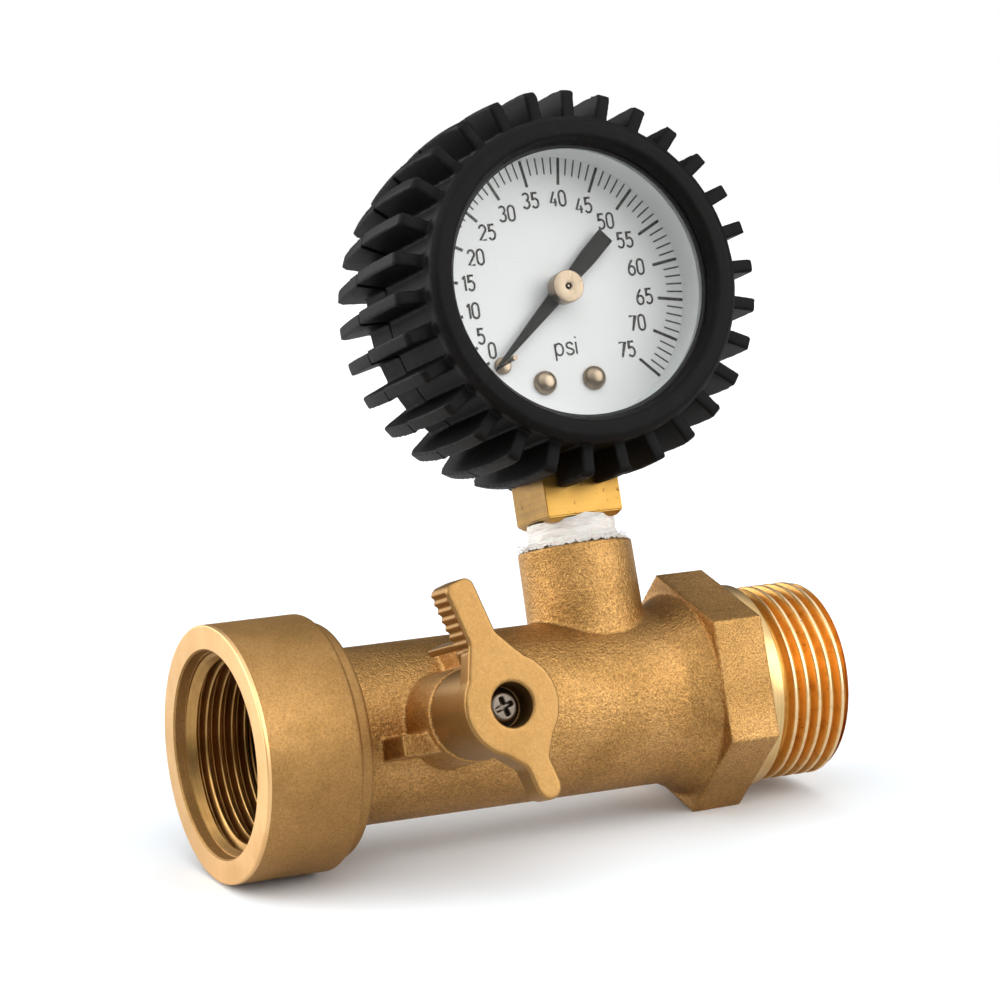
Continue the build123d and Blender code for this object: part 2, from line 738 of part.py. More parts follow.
# ---- dial with its rivets, stop screw and stop peg ----
with BuildPart() as dial_plate:
    with BuildSketch(gauge_plane.offset(dial_back)):
        Circle(dial_radius)
        Circle(1.5, mode=Mode.SUBTRACT)
        with Locations(*rivet_places):
            Circle(0.75, mode=Mode.SUBTRACT)
        with Locations(stop_screw_place):
            Circle(0.75, mode=Mode.SUBTRACT)
        with Locations(stop_peg_place):
            Circle(0.36, mode=Mode.SUBTRACT)
    extrude(amount=dial_front - dial_back)
dial_plate.part.label = "dial_plate"
export_step(dial_plate.part, "parts/dial_plate.step")

with BuildPart() as dial_rivet_left:
    with BuildSketch(gauge_plane.offset(dial_front + 0.02)):
        with Locations(rivet_places[0]):
            Circle(1.65)
    extrude(amount=1.1)
    fillet(dial_rivet_left.edges().filter_by(GeomType.CIRCLE).group_by(Axis.Y)[0], 0.9)
    with BuildSketch(gauge_plane.offset(5.42)):
        with Locations(rivet_places[0]):
            Circle(0.7)
    extrude(amount=2.5)
dial_rivet_left.part.label = "dial_rivet_left"
export_step(dial_rivet_left.part, "parts/dial_rivet_left.step")

with BuildPart() as dial_rivet_right:
    with BuildSketch(gauge_plane.offset(dial_front + 0.02)):
        with Locations(rivet_places[1]):
            Circle(1.65)
    extrude(amount=1.1)
    fillet(dial_rivet_right.edges().filter_by(GeomType.CIRCLE).group_by(Axis.Y)[0], 0.9)
    with BuildSketch(gauge_plane.offset(5.42)):
        with Locations(rivet_places[1]):
            Circle(0.7)
    extrude(amount=2.5)
dial_rivet_right.part.label = "dial_rivet_right"
export_step(dial_rivet_right.part, "parts/dial_rivet_right.step")

with BuildPart() as stop_screw:
    with BuildSketch(gauge_plane.offset(dial_front + 0.02)):
        with Locations(stop_screw_place):
            Circle(1.15)
    extrude(amount=0.7)
    with BuildSketch(gauge_plane.offset(dial_front + 0.4)):
        with Locations(stop_screw_place):
            Rectangle(2.4, 0.35, rotation=20)
    extrude(amount=0.4, mode=Mode.SUBTRACT)
    with BuildSketch(gauge_plane.offset(6.4)):
        with Locations(stop_screw_place):
            Circle(0.7)
    extrude(amount=1.52)
stop_screw.part.label = "stop_screw"
export_step(stop_screw.part, "parts/stop_screw.step")

with BuildPart() as stop_peg:
    with BuildSketch(gauge_plane.offset(dial_back)):
        with Locations(stop_peg_place):
            Circle(0.34)
    extrude(amount=2.2)
stop_peg.part.label = "stop_peg"
export_step(stop_peg.part, "parts/stop_peg.step")

# ---- spacer ring, window and the ring that clamps it ----
with BuildPart() as spacer_ring:
    with BuildSketch(gauge_plane.offset(dial_front + 0.02)):
        Circle(dial_radius)
        Circle(spacer_inner, mode=Mode.SUBTRACT)
    extrude(amount=window_back - dial_front - 0.04)
spacer_ring.part.label = "spacer_ring"
export_step(spacer_ring.part, "parts/spacer_ring.step")

with BuildPart() as gauge_window:
    with BuildSketch(gauge_plane.offset(window_back)):
        Circle(dial_radius)
    extrude(amount=1.5)
gauge_window.part.label = "gauge_window"
export_step(gauge_window.part, "parts/gauge_window.step")

with BuildPart() as bezel_ring:
    with BuildSketch(gauge_plane.offset(case_front + 0.02)):
        Circle(case_radius)
        Circle(bezel_inner, mode=Mode.SUBTRACT)
    extrude(amount=bezel_thickness)
bezel_ring.part.label = "bezel_ring"
export_step(bezel_ring.part, "parts/bezel_ring.step")

# ---- rubber boot: drum with a domed back, rolled lip, thirty fins, opening for the socket ----
dome_back = fin_back - 0.2
drum_profile = [
    (boot_bore, case_back - boot_clearance),
    (boot_bore, case_front + bezel_thickness + boot_clearance),
    (lip_opening - lip_ledge, case_front + bezel_thickness + boot_clearance),
    (lip_opening - lip_ledge, case_front + bezel_thickness + 0.3),
    (lip_opening - 0.25, boot_front - 0.4),
    (lip_opening, boot_front),
    (lip_radius - boot_edge, boot_front),
    (lip_radius, boot_front - boot_edge),
    (lip_radius, lip_back),
    (boot_drum, lip_groove),
    (boot_drum, boot_flank_back),
    (boot_drum - boot_edge, boot_back),
    (dome_edge, dome_back + 0.6),
    (dome_crown, dome_back),
    (boot_rear_opening, dome_back),
    (boot_rear_opening, dome_back + dome_wall),
    (dome_inner, dome_back + dome_wall),
    (dome_shoulder, case_back - boot_clearance),
]
fin_outline = [
    (fin_foot_rear, boot_back),
    (fin_foot_front, fin_front),
    (fin_tip - fin_corner, fin_front),
    (fin_tip, fin_front - fin_corner),
]
fin_heel_outline = [
    (fin_rear_tip, fin_back + 0.6),
    (fin_rear_corner, fin_back),
    (fin_heel, fin_back + fin_heel_rise),
    (fin_foot_rear, boot_back),
]
fin_plane = Plane(origin=gauge_plane.origin, x_dir=gauge_plane.x_dir, z_dir=tuple(-gauge_plane.y_dir))
with BuildPart() as rubber_boot:
    with BuildSketch(fin_plane):
        with BuildLine():
            Polyline(*drum_profile, close=True)
        make_face()
    revolve(axis=Axis(gauge_plane.origin, gauge_plane.z_dir))
    for fin in range(fin_count):
        spoke = turned(gauge_plane, fin * 360.0 / fin_count)
        blade = Plane(origin=spoke.origin, x_dir=spoke.x_dir, z_dir=tuple(-spoke.y_dir))
        with BuildSketch(blade):
            with BuildLine():
                Polyline(*fin_outline)
                ThreePointArc(fin_outline[-1], (fin_tip + fin_bulge, fin_crest_at), fin_heel_outline[0])
                Polyline(*fin_heel_outline)
            make_face()
        extrude(amount=fin_thickness / 2, both=True)
    with BuildSketch(socket_plane.offset(gauge_height - boot_socket_drop)):
        Rectangle(socket_side + boot_socket_gap, socket_side + boot_socket_gap)
    extrude(amount=boot_socket_depth, mode=Mode.SUBTRACT)
rubber_boot.part.label = "rubber_boot"
export_step(rubber_boot.part, "parts/rubber_boot.step")
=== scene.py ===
import math

import bmesh
import bpy
from mathutils import Matrix, Vector, noise
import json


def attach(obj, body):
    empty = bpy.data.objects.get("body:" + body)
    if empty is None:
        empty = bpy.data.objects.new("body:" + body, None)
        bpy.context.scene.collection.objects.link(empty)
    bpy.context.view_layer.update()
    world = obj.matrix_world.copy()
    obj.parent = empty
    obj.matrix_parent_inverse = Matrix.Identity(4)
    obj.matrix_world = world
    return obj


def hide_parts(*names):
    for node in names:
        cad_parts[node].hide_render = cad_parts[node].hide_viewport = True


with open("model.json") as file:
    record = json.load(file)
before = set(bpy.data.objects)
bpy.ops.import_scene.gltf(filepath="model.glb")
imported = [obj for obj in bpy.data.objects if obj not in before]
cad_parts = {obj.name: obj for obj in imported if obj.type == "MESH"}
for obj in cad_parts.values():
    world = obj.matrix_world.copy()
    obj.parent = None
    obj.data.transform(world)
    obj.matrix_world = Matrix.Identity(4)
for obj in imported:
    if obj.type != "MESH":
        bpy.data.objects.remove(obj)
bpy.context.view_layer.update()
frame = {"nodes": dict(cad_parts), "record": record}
nodes = frame["nodes"]

# Lengths are in millimetres unless a comment says otherwise. MM turns them into metres.
MM = 0.001

# The pipe runs along x from the inlet's mouth at 0, the gauge stem rises along z, and the lever faces -y.
PIPE_LENGTH = 87.6
BOSS_X = 56.12
DIAL_Z = 55.2
DIAL_YAW = math.radians(3.4)
STEM_X = 28.3
LEVER_ANGLE = math.radians(107.5)


# ---------------------------------------------------------------- frames
DIAL_RIGHT = (math.cos(DIAL_YAW), -math.sin(DIAL_YAW))
DIAL_OUT = (-math.sin(DIAL_YAW), -math.cos(DIAL_YAW))


def gauge(x, y, out):
    """A point in the gauge's own frame: right, up and towards the reader."""
    east = BOSS_X + x * DIAL_RIGHT[0] + out * DIAL_OUT[0]
    return Vector((east, x * DIAL_RIGHT[1] + out * DIAL_OUT[1], DIAL_Z + y)) * MM


def around(cx, cy):
    """A turning frame whose axis stands out of the dial at a point."""
    def place(a, r, t):
        return gauge(cx + r * math.cos(t), cy + r * math.sin(t), a)
    return place


def lever(along, across, out):
    """A point in the lever's frame: along the long arm, across it, and out towards the user."""
    c, s = math.cos(LEVER_ANGLE), math.sin(LEVER_ANGLE)
    return Vector((STEM_X + along * c - across * s, -out, along * s + across * c)) * MM


def lever_turned(a, r, t):
    """A point at a distance out, a radius and an angle round the lever's own axis."""
    return lever(r * math.cos(t), r * math.sin(t), a)


def flow(a, r, t):
    """A point at a distance along the pipe, a radius and an angle round it."""
    return Vector((a, r * math.cos(t), r * math.sin(t))) * MM


def stem(a, r, t):
    """A point at a height up the gauge stem, a radius and an angle round it."""
    return Vector((BOSS_X + r * math.cos(t), r * math.sin(t), a)) * MM


def spindle(a, r, t):
    """A point at a distance out along the valve's spindle, a radius and an angle round it."""
    return Vector((STEM_X + r * math.cos(t), -a, r * math.sin(t))) * MM


# ---------------------------------------------------------------- shader nodes
def tree(name):
    """A new material, its node tree, its Principled shader and its object coordinates in metres."""
    material = bpy.data.materials.new(name)
    material.use_nodes = True
    t = material.node_tree
    place = t.nodes.new("ShaderNodeTexCoord")
    return material, t, t.nodes["Principled BSDF"], place.outputs["Object"]


def noise_node(t, where, scale, detail, rough, distortion=0.0):
    n = t.nodes.new("ShaderNodeTexNoise")
    n.inputs["Scale"].default_value = scale
    n.inputs["Detail"].default_value = detail
    n.inputs["Roughness"].default_value = rough
    n.inputs["Distortion"].default_value = distortion
    t.links.new(where, n.inputs["Vector"])
    return n.outputs["Fac"]


def stretched(t, where, scale):
    m = t.nodes.new("ShaderNodeMapping")
    m.inputs["Scale"].default_value = scale
    t.links.new(where, m.inputs["Vector"])
    return m.outputs["Vector"]


def ramp(t, value, stops):
    r = t.nodes.new("ShaderNodeValToRGB")
    r.color_ramp.elements[0].position = stops[0][0]
    r.color_ramp.elements[0].color = (*stops[0][1], 1)
    r.color_ramp.elements[1].position = stops[-1][0]
    r.color_ramp.elements[1].color = (*stops[-1][1], 1)
    for p, c in stops[1:-1]:
        r.color_ramp.elements.new(p).color = (*c, 1)
    t.links.new(value, r.inputs["Fac"])
    return r.outputs["Color"]


def mix(t, factor, a, b, mode):
    """Two colours blended in a mode, by a constant factor."""
    m = t.nodes.new("ShaderNodeMix")
    m.data_type = "RGBA"
    m.blend_type = mode
    m.inputs[0].default_value = factor
    t.links.new(a, m.inputs[6])
    t.links.new(b, m.inputs[7])
    return m.outputs[2]


def span(t, value, low, high):
    r = t.nodes.new("ShaderNodeMapRange")
    r.inputs["To Min"].default_value = low
    r.inputs["To Max"].default_value = high
    t.links.new(value, r.inputs["Value"])
    return r.outputs["Result"]


def bump(t, shader, heights):
    """Heights are (value, strength, depth in metres); the last one is the coarsest."""
    last = None
    for value, strength, depth in heights:
        b = t.nodes.new("ShaderNodeBump")
        b.inputs["Strength"].default_value = strength
        b.inputs["Distance"].default_value = depth
        t.links.new(value, b.inputs["Height"])
        if last is not None:
            t.links.new(last, b.inputs["Normal"])
        last = b.outputs["Normal"]
    t.links.new(last, shader.inputs["Normal"])


def shader_node(t, kind, colour):
    n = t.nodes.new(kind)
    n.inputs["Color"].default_value = (*colour, 1)
    return n


def mix_shaders(t, factor, first, second, output):
    """Two shaders mixed into the output node; factor is a number or a socket."""
    both = t.nodes.new("ShaderNodeMixShader")
    if isinstance(factor, float):
        both.inputs[0].default_value = factor
    else:
        t.links.new(factor, both.inputs[0])
    t.links.new(first.outputs[0], both.inputs[1])
    t.links.new(second.outputs[0], both.inputs[2])
    t.links.new(both.outputs[0], t.nodes[output].inputs["Surface"])


# ---------------------------------------------------------------- materials
WHITE = (1, 1, 1)
BLACK = (0, 0, 0)
X, Y, Z = range(3)


def cast_metal(name, tones, grain, depth, rough, sparkle, contrast):
    """Sand-cast brass: cloudy tone, fine dark specks and bright specks that are partly painted glints, and a
    gritty surface.
    """
    material, t, shader, where = tree(name)
    shader.inputs["Metallic"].default_value = 1.0
    broad = noise_node(t, where, scale=110, detail=5, rough=0.6, distortion=0.3)
    fine = noise_node(t, where, scale=grain, detail=3, rough=0.6)
    coarse = noise_node(t, where, scale=grain * 0.42, detail=3, rough=0.65)
    tone = ramp(t, broad, [(0.3, tones[0]), (0.52, tones[1]), (0.74, tones[2])])
    # Fine specks: the dark ones are grain; the bright ones, up to half again as bright as the tone, are partly
    # painted glints.
    specks_and_glints = ramp(t, fine, [(0.36, (0.52, 0.48, 0.44)), (0.5, WHITE), (0.66, (1.5, 1.46, 1.36))])
    patches = ramp(t, coarse, [(0.34, (0.78, 0.76, 0.74)), (0.6, (1.1, 1.08, 1.04))])
    colour = mix(t, contrast, tone, specks_and_glints, "MULTIPLY")
    t.links.new(mix(t, contrast, colour, patches, "MULTIPLY"), shader.inputs["Base Color"])
    t.links.new(span(t, fine, rough[1], rough[0]), shader.inputs["Roughness"])
    bump(t, shader, [(fine, sparkle, depth), (coarse, sparkle * 0.8, depth * 1.6), (broad, 0.2, depth * 4)])
    return material


def turned_metal(name, colour, deep, rings, rough, axis, pits=0.0):
    """Machined metal: fine tool marks running round the given axis, and casting pits where asked for."""
    material, t, shader, where = tree(name)
    shader.inputs["Metallic"].default_value = 1.0
    scale = [6.0, 6.0, 6.0]
    scale[axis] = rings
    marks = noise_node(t, stretched(t, where, scale), scale=1.0, detail=3, rough=0.7)
    cloud = noise_node(t, where, scale=160, detail=4, rough=0.6)
    tone = ramp(t, cloud, [(0.3, deep), (0.62, colour)])
    streak = ramp(t, marks, [(0.3, (0.72, 0.7, 0.66)), (0.6, (1.08, 1.06, 1.03))])
    base = mix(t, 0.6, tone, streak, "MULTIPLY")
    heights = [(marks, 0.35, 0.00002)]
    if pits:
        hole = noise_node(t, where, scale=1500, detail=3, rough=0.6)
        mask = ramp(t, hole, [(0.28, (0.12, 0.09, 0.05)), (0.36, WHITE)])
        base = mix(t, pits, base, mask, "MULTIPLY")
        heights.append((hole, 0.2, 0.00004))
    t.links.new(base, shader.inputs["Base Color"])
    t.links.new(span(t, marks, rough * 0.7, rough * 1.5), shader.inputs["Roughness"])
    bump(t, shader, heights)
    return material


def plain(name, colour, rough=0.4, metallic=0.0, wobble=0.08, grain=900, depth=0.00001, specular=0.5):
    """An even finish whose colour and gloss waver a little."""
    material, t, shader, where = tree(name)
    shader.inputs["Metallic"].default_value = metallic
    shader.inputs["Specular IOR Level"].default_value = specular
    fine = noise_node(t, where, scale=grain, detail=4, rough=0.6)
    low = tuple(c * (1 - wobble) for c in colour)
    high = tuple(min(1.0, c * (1 + wobble)) for c in colour)
    t.links.new(ramp(t, fine, [(0.3, low), (0.7, high)]), shader.inputs["Base Color"])
    t.links.new(span(t, fine, rough * 0.85, rough * 1.15), shader.inputs["Roughness"])
    bump(t, shader, [(fine, 0.3, depth)])
    return material


def threaded_brass(name, root, crest):
    """Turned thread: roots darkened with painted shade, orange flanks, and crests lightened by a painted
    highlight, told apart by radius.
    """
    material, t, shader, where = tree(name)
    shader.inputs["Metallic"].default_value = 1.0
    split = t.nodes.new("ShaderNodeVectorMath")
    split.operation = "MULTIPLY"
    split.inputs[1].default_value = (0, 1, 1)
    t.links.new(where, split.inputs[0])
    length = t.nodes.new("ShaderNodeVectorMath")
    length.operation = "LENGTH"
    t.links.new(split.outputs[0], length.inputs[0])
    height = t.nodes.new("ShaderNodeMapRange")
    height.inputs["From Min"].default_value = root * MM
    height.inputs["From Max"].default_value = crest * MM
    t.links.new(length.outputs["Value"], height.inputs["Value"])
    # Painted light by radius: the darker roots are painted shade and the thin pale band at the crest is a
    # painted highlight.
    tone = ramp(t, height.outputs["Result"], [
        (0.0, (0.62, 0.31, 0.075)),
        (0.55, (0.80, 0.43, 0.115)),
        (0.90, (0.84, 0.47, 0.14)),
        (0.985, (0.95, 0.72, 0.42)),
    ])
    clouds = noise_node(t, where, scale=420, detail=5, rough=0.65)
    specks = noise_node(t, where, scale=1700, detail=3, rough=0.6)
    stain = ramp(t, clouds, [(0.32, (0.55, 0.46, 0.38)), (0.5, WHITE)])
    pits = ramp(t, specks, [(0.27, (0.12, 0.08, 0.05)), (0.34, WHITE)])
    marks = noise_node(t, stretched(t, where, (2600, 12, 12)), scale=1.0, detail=3, rough=0.7)
    colour = mix(t, 0.8, mix(t, 0.55, tone, stain, "MULTIPLY"), pits, "MULTIPLY")
    t.links.new(colour, shader.inputs["Base Color"])
    t.links.new(span(t, marks, 0.30, 0.48), shader.inputs["Roughness"])
    bump(t, shader, [(marks, 0.25, 0.00002)])
    return material


def moulded_rubber(name):
    """Matt black rubber with a faint bloom and fine mould texture."""
    material, t, shader, where = tree(name)
    shader.inputs["Specular IOR Level"].default_value = 0.1
    fine = noise_node(t, where, scale=2600, detail=3, rough=0.6)
    broad = noise_node(t, where, scale=130, detail=5, rough=0.6)
    dust = noise_node(t, where, scale=700, detail=6, rough=0.7, distortion=0.4)
    tone = ramp(t, broad, [(0.3, (0.0034, 0.0030, 0.0029)), (0.7, (0.0066, 0.0058, 0.0055))])
    bloom = ramp(t, dust, [(0.55, BLACK), (0.8, (0.012, 0.011, 0.0105))])
    t.links.new(mix(t, 0.6, tone, bloom, "ADD"), shader.inputs["Base Color"])
    t.links.new(span(t, broad, 0.44, 0.6), shader.inputs["Roughness"])
    bump(t, shader, [(fine, 0.3, 0.00002), (broad, 0.25, 0.0001)])
    return material


def wound_tape(name):
    """Thin white film wound in many layers: faint creases across, painted darker in their troughs as shade,
    soft and a little see-through.
    """
    material, t, shader, where = tree(name)
    shader.inputs["Specular IOR Level"].default_value = 0.4
    shader.inputs["Subsurface Weight"].default_value = 0.15
    shader.inputs["Subsurface Scale"].default_value = 0.0006
    along_folds = stretched(t, where, (260, 260, 1900))
    folds = noise_node(t, along_folds, scale=1.0, detail=5, rough=0.65, distortion=0.6)
    # The colour follows the crease bump: the troughs are painted darker as shade, the ridges lighter.
    tone = ramp(t, folds, [(0.3, (0.66, 0.61, 0.56)), (0.5, (0.88, 0.84, 0.79)), (0.75, (0.95, 0.93, 0.90))])
    t.links.new(tone, shader.inputs["Base Color"])
    t.links.new(span(t, folds, 0.3, 0.55), shader.inputs["Roughness"])
    bump(t, shader, [(folds, 0.6, 0.00025)])
    return material


def clear_window(name, tint, reflection):
    """A clear pane that passes its light unbent, with a faint even reflection."""
    material = bpy.data.materials.new(name)
    material.use_nodes = True
    t = material.node_tree
    t.nodes.remove(t.nodes["Principled BSDF"])
    through = shader_node(t, "ShaderNodeBsdfTransparent", tint)
    gloss = t.nodes.new("ShaderNodeBsdfGlossy")
    gloss.inputs["Roughness"].default_value = 0.03
    mix_shaders(t, reflection, through, gloss, "Material Output")
    return material


CAST = cast_metal(
    "sand_cast_brass",
    tones=((0.39, 0.217, 0.070), (0.51, 0.291, 0.102), (0.60, 0.352, 0.136)),
    grain=3900,
    depth=0.00017,
    rough=(0.36, 0.52),
    sparkle=0.75,
    contrast=0.62,
)
COLLAR = cast_metal(
    "collar_brass",
    tones=((0.345, 0.195, 0.065), (0.425, 0.244, 0.087), (0.475, 0.282, 0.11)),
    grain=3600,
    depth=0.00005,
    rough=(0.50, 0.64),
    sparkle=0.3,
    contrast=0.26,
)
LEVER = cast_metal(
    "lever_brass",
    tones=((0.325, 0.183, 0.061), (0.355, 0.202, 0.070), (0.38, 0.222, 0.082)),
    grain=4200,
    depth=0.00003,
    rough=(0.40, 0.50),
    sparkle=0.3,
    contrast=0.16,
)
FACE = turned_metal("collar_face_brass", (0.92, 0.60, 0.29), (0.80, 0.50, 0.22), 900, rough=0.40, axis=X)
THREAD = threaded_brass("turned_thread_brass", root=11.9, crest=13.25)
SHOULDER = turned_metal(
    "turned_shoulder_brass", (0.80, 0.57, 0.27), (0.68, 0.45, 0.19), 2200, rough=0.3, axis=X
)
BORE = turned_metal("bored_thread_brass", (0.52, 0.31, 0.11), (0.34, 0.19, 0.06), 1600, rough=0.3, axis=X)
SHANK = turned_metal(
    "square_shank_brass", (0.50, 0.29, 0.072), (0.36, 0.20, 0.046), 1400, rough=0.34, axis=Z, pits=0.85
)
NICKEL = turned_metal("nickel_brass", (0.30, 0.235, 0.17), (0.21, 0.16, 0.11), 2400, rough=0.26, axis=Y)
STEEL = turned_metal("plated_steel", (0.17, 0.145, 0.12), (0.10, 0.082, 0.065), 2400, rough=0.28, axis=Y)
CHROME = plain("polished_chrome", (0.78, 0.78, 0.8), rough=0.08, metallic=1.0, wobble=0.02, grain=300)
BRONZE = plain("tube_bronze", (0.60, 0.36, 0.16), rough=0.3, metallic=1.0, wobble=0.1, grain=700)
RUBBER = moulded_rubber("boot_rubber")
WASHER = plain("washer_rubber", (0.012, 0.012, 0.0125), rough=0.6, wobble=0.3, grain=800)
PTFE = plain("seat_ptfe", (0.86, 0.86, 0.84), rough=0.4)
TAPE = wound_tape("sealing_tape")
ENAMEL = plain("black_enamel", (0.006, 0.006, 0.0062), rough=0.42, wobble=0.2, specular=0.3)
DIAL = plain(
    "dial_enamel", (0.74, 0.74, 0.738), rough=0.45, wobble=0.012, grain=260, depth=0.000004, specular=0.3
)
SPACER = plain("spacer_white", (0.72, 0.74, 0.735), rough=0.4, wobble=0.04, grain=300)
PRINT = plain("dial_print", (0.018, 0.013, 0.009), rough=0.5, wobble=0.15, grain=2500)
POINTER = plain(
    "pointer_enamel", (0.010, 0.009, 0.006), rough=0.5, wobble=0.12, grain=1200, specular=0.12
)
# Painted shade: a near-black finish put in the lever's recess, the stop screw's slot and the hub's hole, where
# there is only shade.
PAINTED_SHADE = plain("painted_shade_black", (0.012, 0.008, 0.005), rough=0.6, wobble=0.2, specular=0.15)
WINDOW = clear_window("clear_window", tint=(0.985, 0.99, 0.988), reflection=0.006)

SLOT_MATERIAL = {
    "cast_brass": CAST, "turned_brass": THREAD, "lever_brass": LEVER, "gauge_brass": SHANK,
    "nickel_brass": NICKEL, "tube_bronze": BRONZE, "chromed_ball": CHROME, "plated_steel": STEEL,
    "black_rubber": WASHER, "boot_rubber": RUBBER, "white_ptfe": PTFE, "sealing_tape": TAPE,
    "black_case": ENAMEL, "pointer_paint": POINTER, "dial_white": DIAL, "spacer_white": SPACER,
    "window_glass": WINDOW,
}
NODE_SLOT = {row["node"]: row["material_slot"] for row in frame["record"]["subparts"]}
for name, obj in nodes.items():
    obj.data.materials.clear()
    obj.data.materials.append(SLOT_MATERIAL[NODE_SLOT[name]])


# ---------------------------------------------------------------- mesh helpers
def shaded(mesh, material, smooth):
    mesh.materials.clear()
    mesh.materials.append(material)
    mesh.polygons.foreach_set("use_smooth", [smooth] * len(mesh.polygons))


def placed(name, mesh, body, slot, replaces=()):
    """An object in the scene that rides a body and may stand for CAD nodes; slot is not used."""
    obj = bpy.data.objects.new(name, mesh)
    bpy.context.scene.collection.objects.link(obj)
    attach(obj, body)
    if replaces:
        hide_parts(*replaces)
    return obj


def piece(name, verts, faces, material, body, slot, replaces=(), smooth=True):
    mesh = bpy.data.meshes.new(name)
    mesh.from_pydata([tuple(v) for v in verts], [], faces)
    shaded(mesh, material, smooth)
    return placed(name, mesh, body, slot, replaces)


def share(distance, width):
    """How far a distance has got through a width, kept between 0 and 1."""
    return min(1.0, max(0.0, distance / width))


def rounded(points, radius, steps):
    """An open polyline with its inner corners rounded."""
    out = [points[0]]
    for a, b, c in zip(points, points[1:], points[2:]):
        va, vc = (a[0] - b[0], a[1] - b[1]), (c[0] - b[0], c[1] - b[1])
        la, lc = math.hypot(*va), math.hypot(*vc)
        cut = min(radius, la * 0.45, lc * 0.45)
        p = (b[0] + va[0] / la * cut, b[1] + va[1] / la * cut)
        q = (b[0] + vc[0] / lc * cut, b[1] + vc[1] / lc * cut)
        for k in range(steps + 1):
            u = k / steps
            w = ((1 - u) ** 2, 2 * u * (1 - u), u * u)
            out.append(tuple(w[0] * p[i] + w[1] * b[i] + w[2] * q[i] for i in range(2)))
    out.append(points[-1])
    return out


def ring_angles(steps):
    return [2 * math.pi * k / steps for k in range(steps)]


def ring_faces(rows, steps):
    """Quads between neighbouring rings of points; ring i starts at point i * steps."""
    return [
        (i * steps + k, i * steps + n, (i + 1) * steps + n, (i + 1) * steps + k)
        for i in range(rows)
        for k, n in ((k, (k + 1) % steps) for k in range(steps))
    ]


def lathe(place, profile, steps):
    """Vertices and faces of a profile of (distance, radius) turned round place's own axis."""
    verts = [place(a, r, t) for a, r in profile for t in ring_angles(steps)]
    return verts, ring_faces(len(profile) - 1, steps)


def helix(place, start, end, step, radius_at, steps):
    """A tube whose radius depends on both distance and angle, as a thread's does."""
    rows = int(round((end - start) / step))
    distances = [start + (end - start) * i / rows for i in range(rows + 1)]
    verts = [place(a, radius_at(a, t), t) for a in distances for t in ring_angles(steps)]
    return verts, ring_faces(rows, steps)


def sheet(rows, steps, point):
    """A sheet closed round the gauge stem: point(u, t) gives height and radius for a share and an angle."""
    verts = []
    for i in range(rows + 1):
        for t in ring_angles(steps):
            a, r = point(i / rows, t)
            verts.append(stem(a, r, t))
    return verts, ring_faces(rows, steps)


def primitives(parts):
    """One mesh of closed primitives: ("lathe", place, profile, steps) or ("prism", corners)."""
    bm = bmesh.new()
    for kind, *data in parts:
        if kind == "lathe":
            verts, faces = lathe(*data)
            made = [bm.verts.new(v) for v in verts]
            steps = data[2]
            for f in faces:
                bm.faces.new([made[i] for i in f])
            bm.faces.new(made[:steps])
            bm.faces.new(made[-steps:])
        else:
            corners = [bm.verts.new(v) for v in data[0]]
            half = len(corners) // 2
            bm.faces.new(corners[:half])
            bm.faces.new(corners[half:])
            for k in range(half):
                n = (k + 1) % half
                bm.faces.new((corners[k], corners[n], corners[half + n], corners[half + k]))
    bmesh.ops.recalc_face_normals(bm, faces=bm.faces)
    mesh = bpy.data.meshes.new("primitives")
    bm.to_mesh(mesh)
    bm.free()
    return mesh


def remeshed(name, mesh, voxel, smoothing, material, body, slot, replaces=()):
    """A softened copy of a mesh: voxel remesh, then smoothing, as a casting or moulding has."""
    work = bpy.data.objects.new(name + "_work", mesh)
    bpy.context.scene.collection.objects.link(work)
    remesh = work.modifiers.new("Remesh", "REMESH")
    remesh.mode = "VOXEL"
    remesh.voxel_size = voxel * MM
    smooth = work.modifiers.new("Smooth", "SMOOTH")
    smooth.factor = 0.5
    smooth.iterations = smoothing
    bpy.context.view_layer.update()
    evaluated = work.evaluated_get(bpy.context.evaluated_depsgraph_get())
    final = bpy.data.meshes.new_from_object(evaluated)
    bpy.data.objects.remove(work)
    shaded(final, material, True)
    return placed(name, final, body, slot, replaces)


# ---------------------------------------------------------------- threads
THREAD_PITCH = 1.814
RIDGE_HALF_WIDTH = 0.79
FLANK_WIDTH = 0.60
CREST_ROUNDING = 0.35


def ridge(a, t, first_crest, turned_from):
    """Share of full thread height, 0 at the root and 1 on the crest, of a right-hand thread."""
    u = ((a - first_crest) / THREAD_PITCH - (t - turned_from) / (2 * math.pi)) % 1.0
    from_crest = min(u, 1 - u) * THREAD_PITCH
    x = share(RIDGE_HALF_WIDTH - from_crest, FLANK_WIDTH)
    return x * x * (3 - 2 * x) * CREST_ROUNDING + x * (1 - CREST_ROUNDING)


INLET_START = 1.6
INLET_END = 12.0
INLET_ROOT = 13.24
INLET_DEPTH = 1.18
INLET_CREST = 2.33
INLET_FULL_TO = 11.0
INLET_RUNOUT = 0.8
INLET_LEAD_IN = 0.8


def female_radius(a, t):
    """The inlet thread's radius, chamfered at its start and fading out before its end."""
    fade = share(INLET_FULL_TO - a, INLET_RUNOUT)
    full = INLET_ROOT - INLET_DEPTH * ridge(a, t, INLET_CREST, 0.0) * fade
    return max(full, INLET_ROOT - (a - INLET_START) * INLET_LEAD_IN)


OUTLET_START = 77.9
OUTLET_ROOT = 12.06
OUTLET_DEPTH = 1.16
OUTLET_LIMIT = 13.22
OUTLET_CREST = 81.04
OUTLET_TURN = math.radians(188.8)
OUTLET_RUNOUT_FROM = 78.1
OUTLET_RUNOUT = 0.9
END_RADIUS = 12.85
END_CHAMFER = 1.1


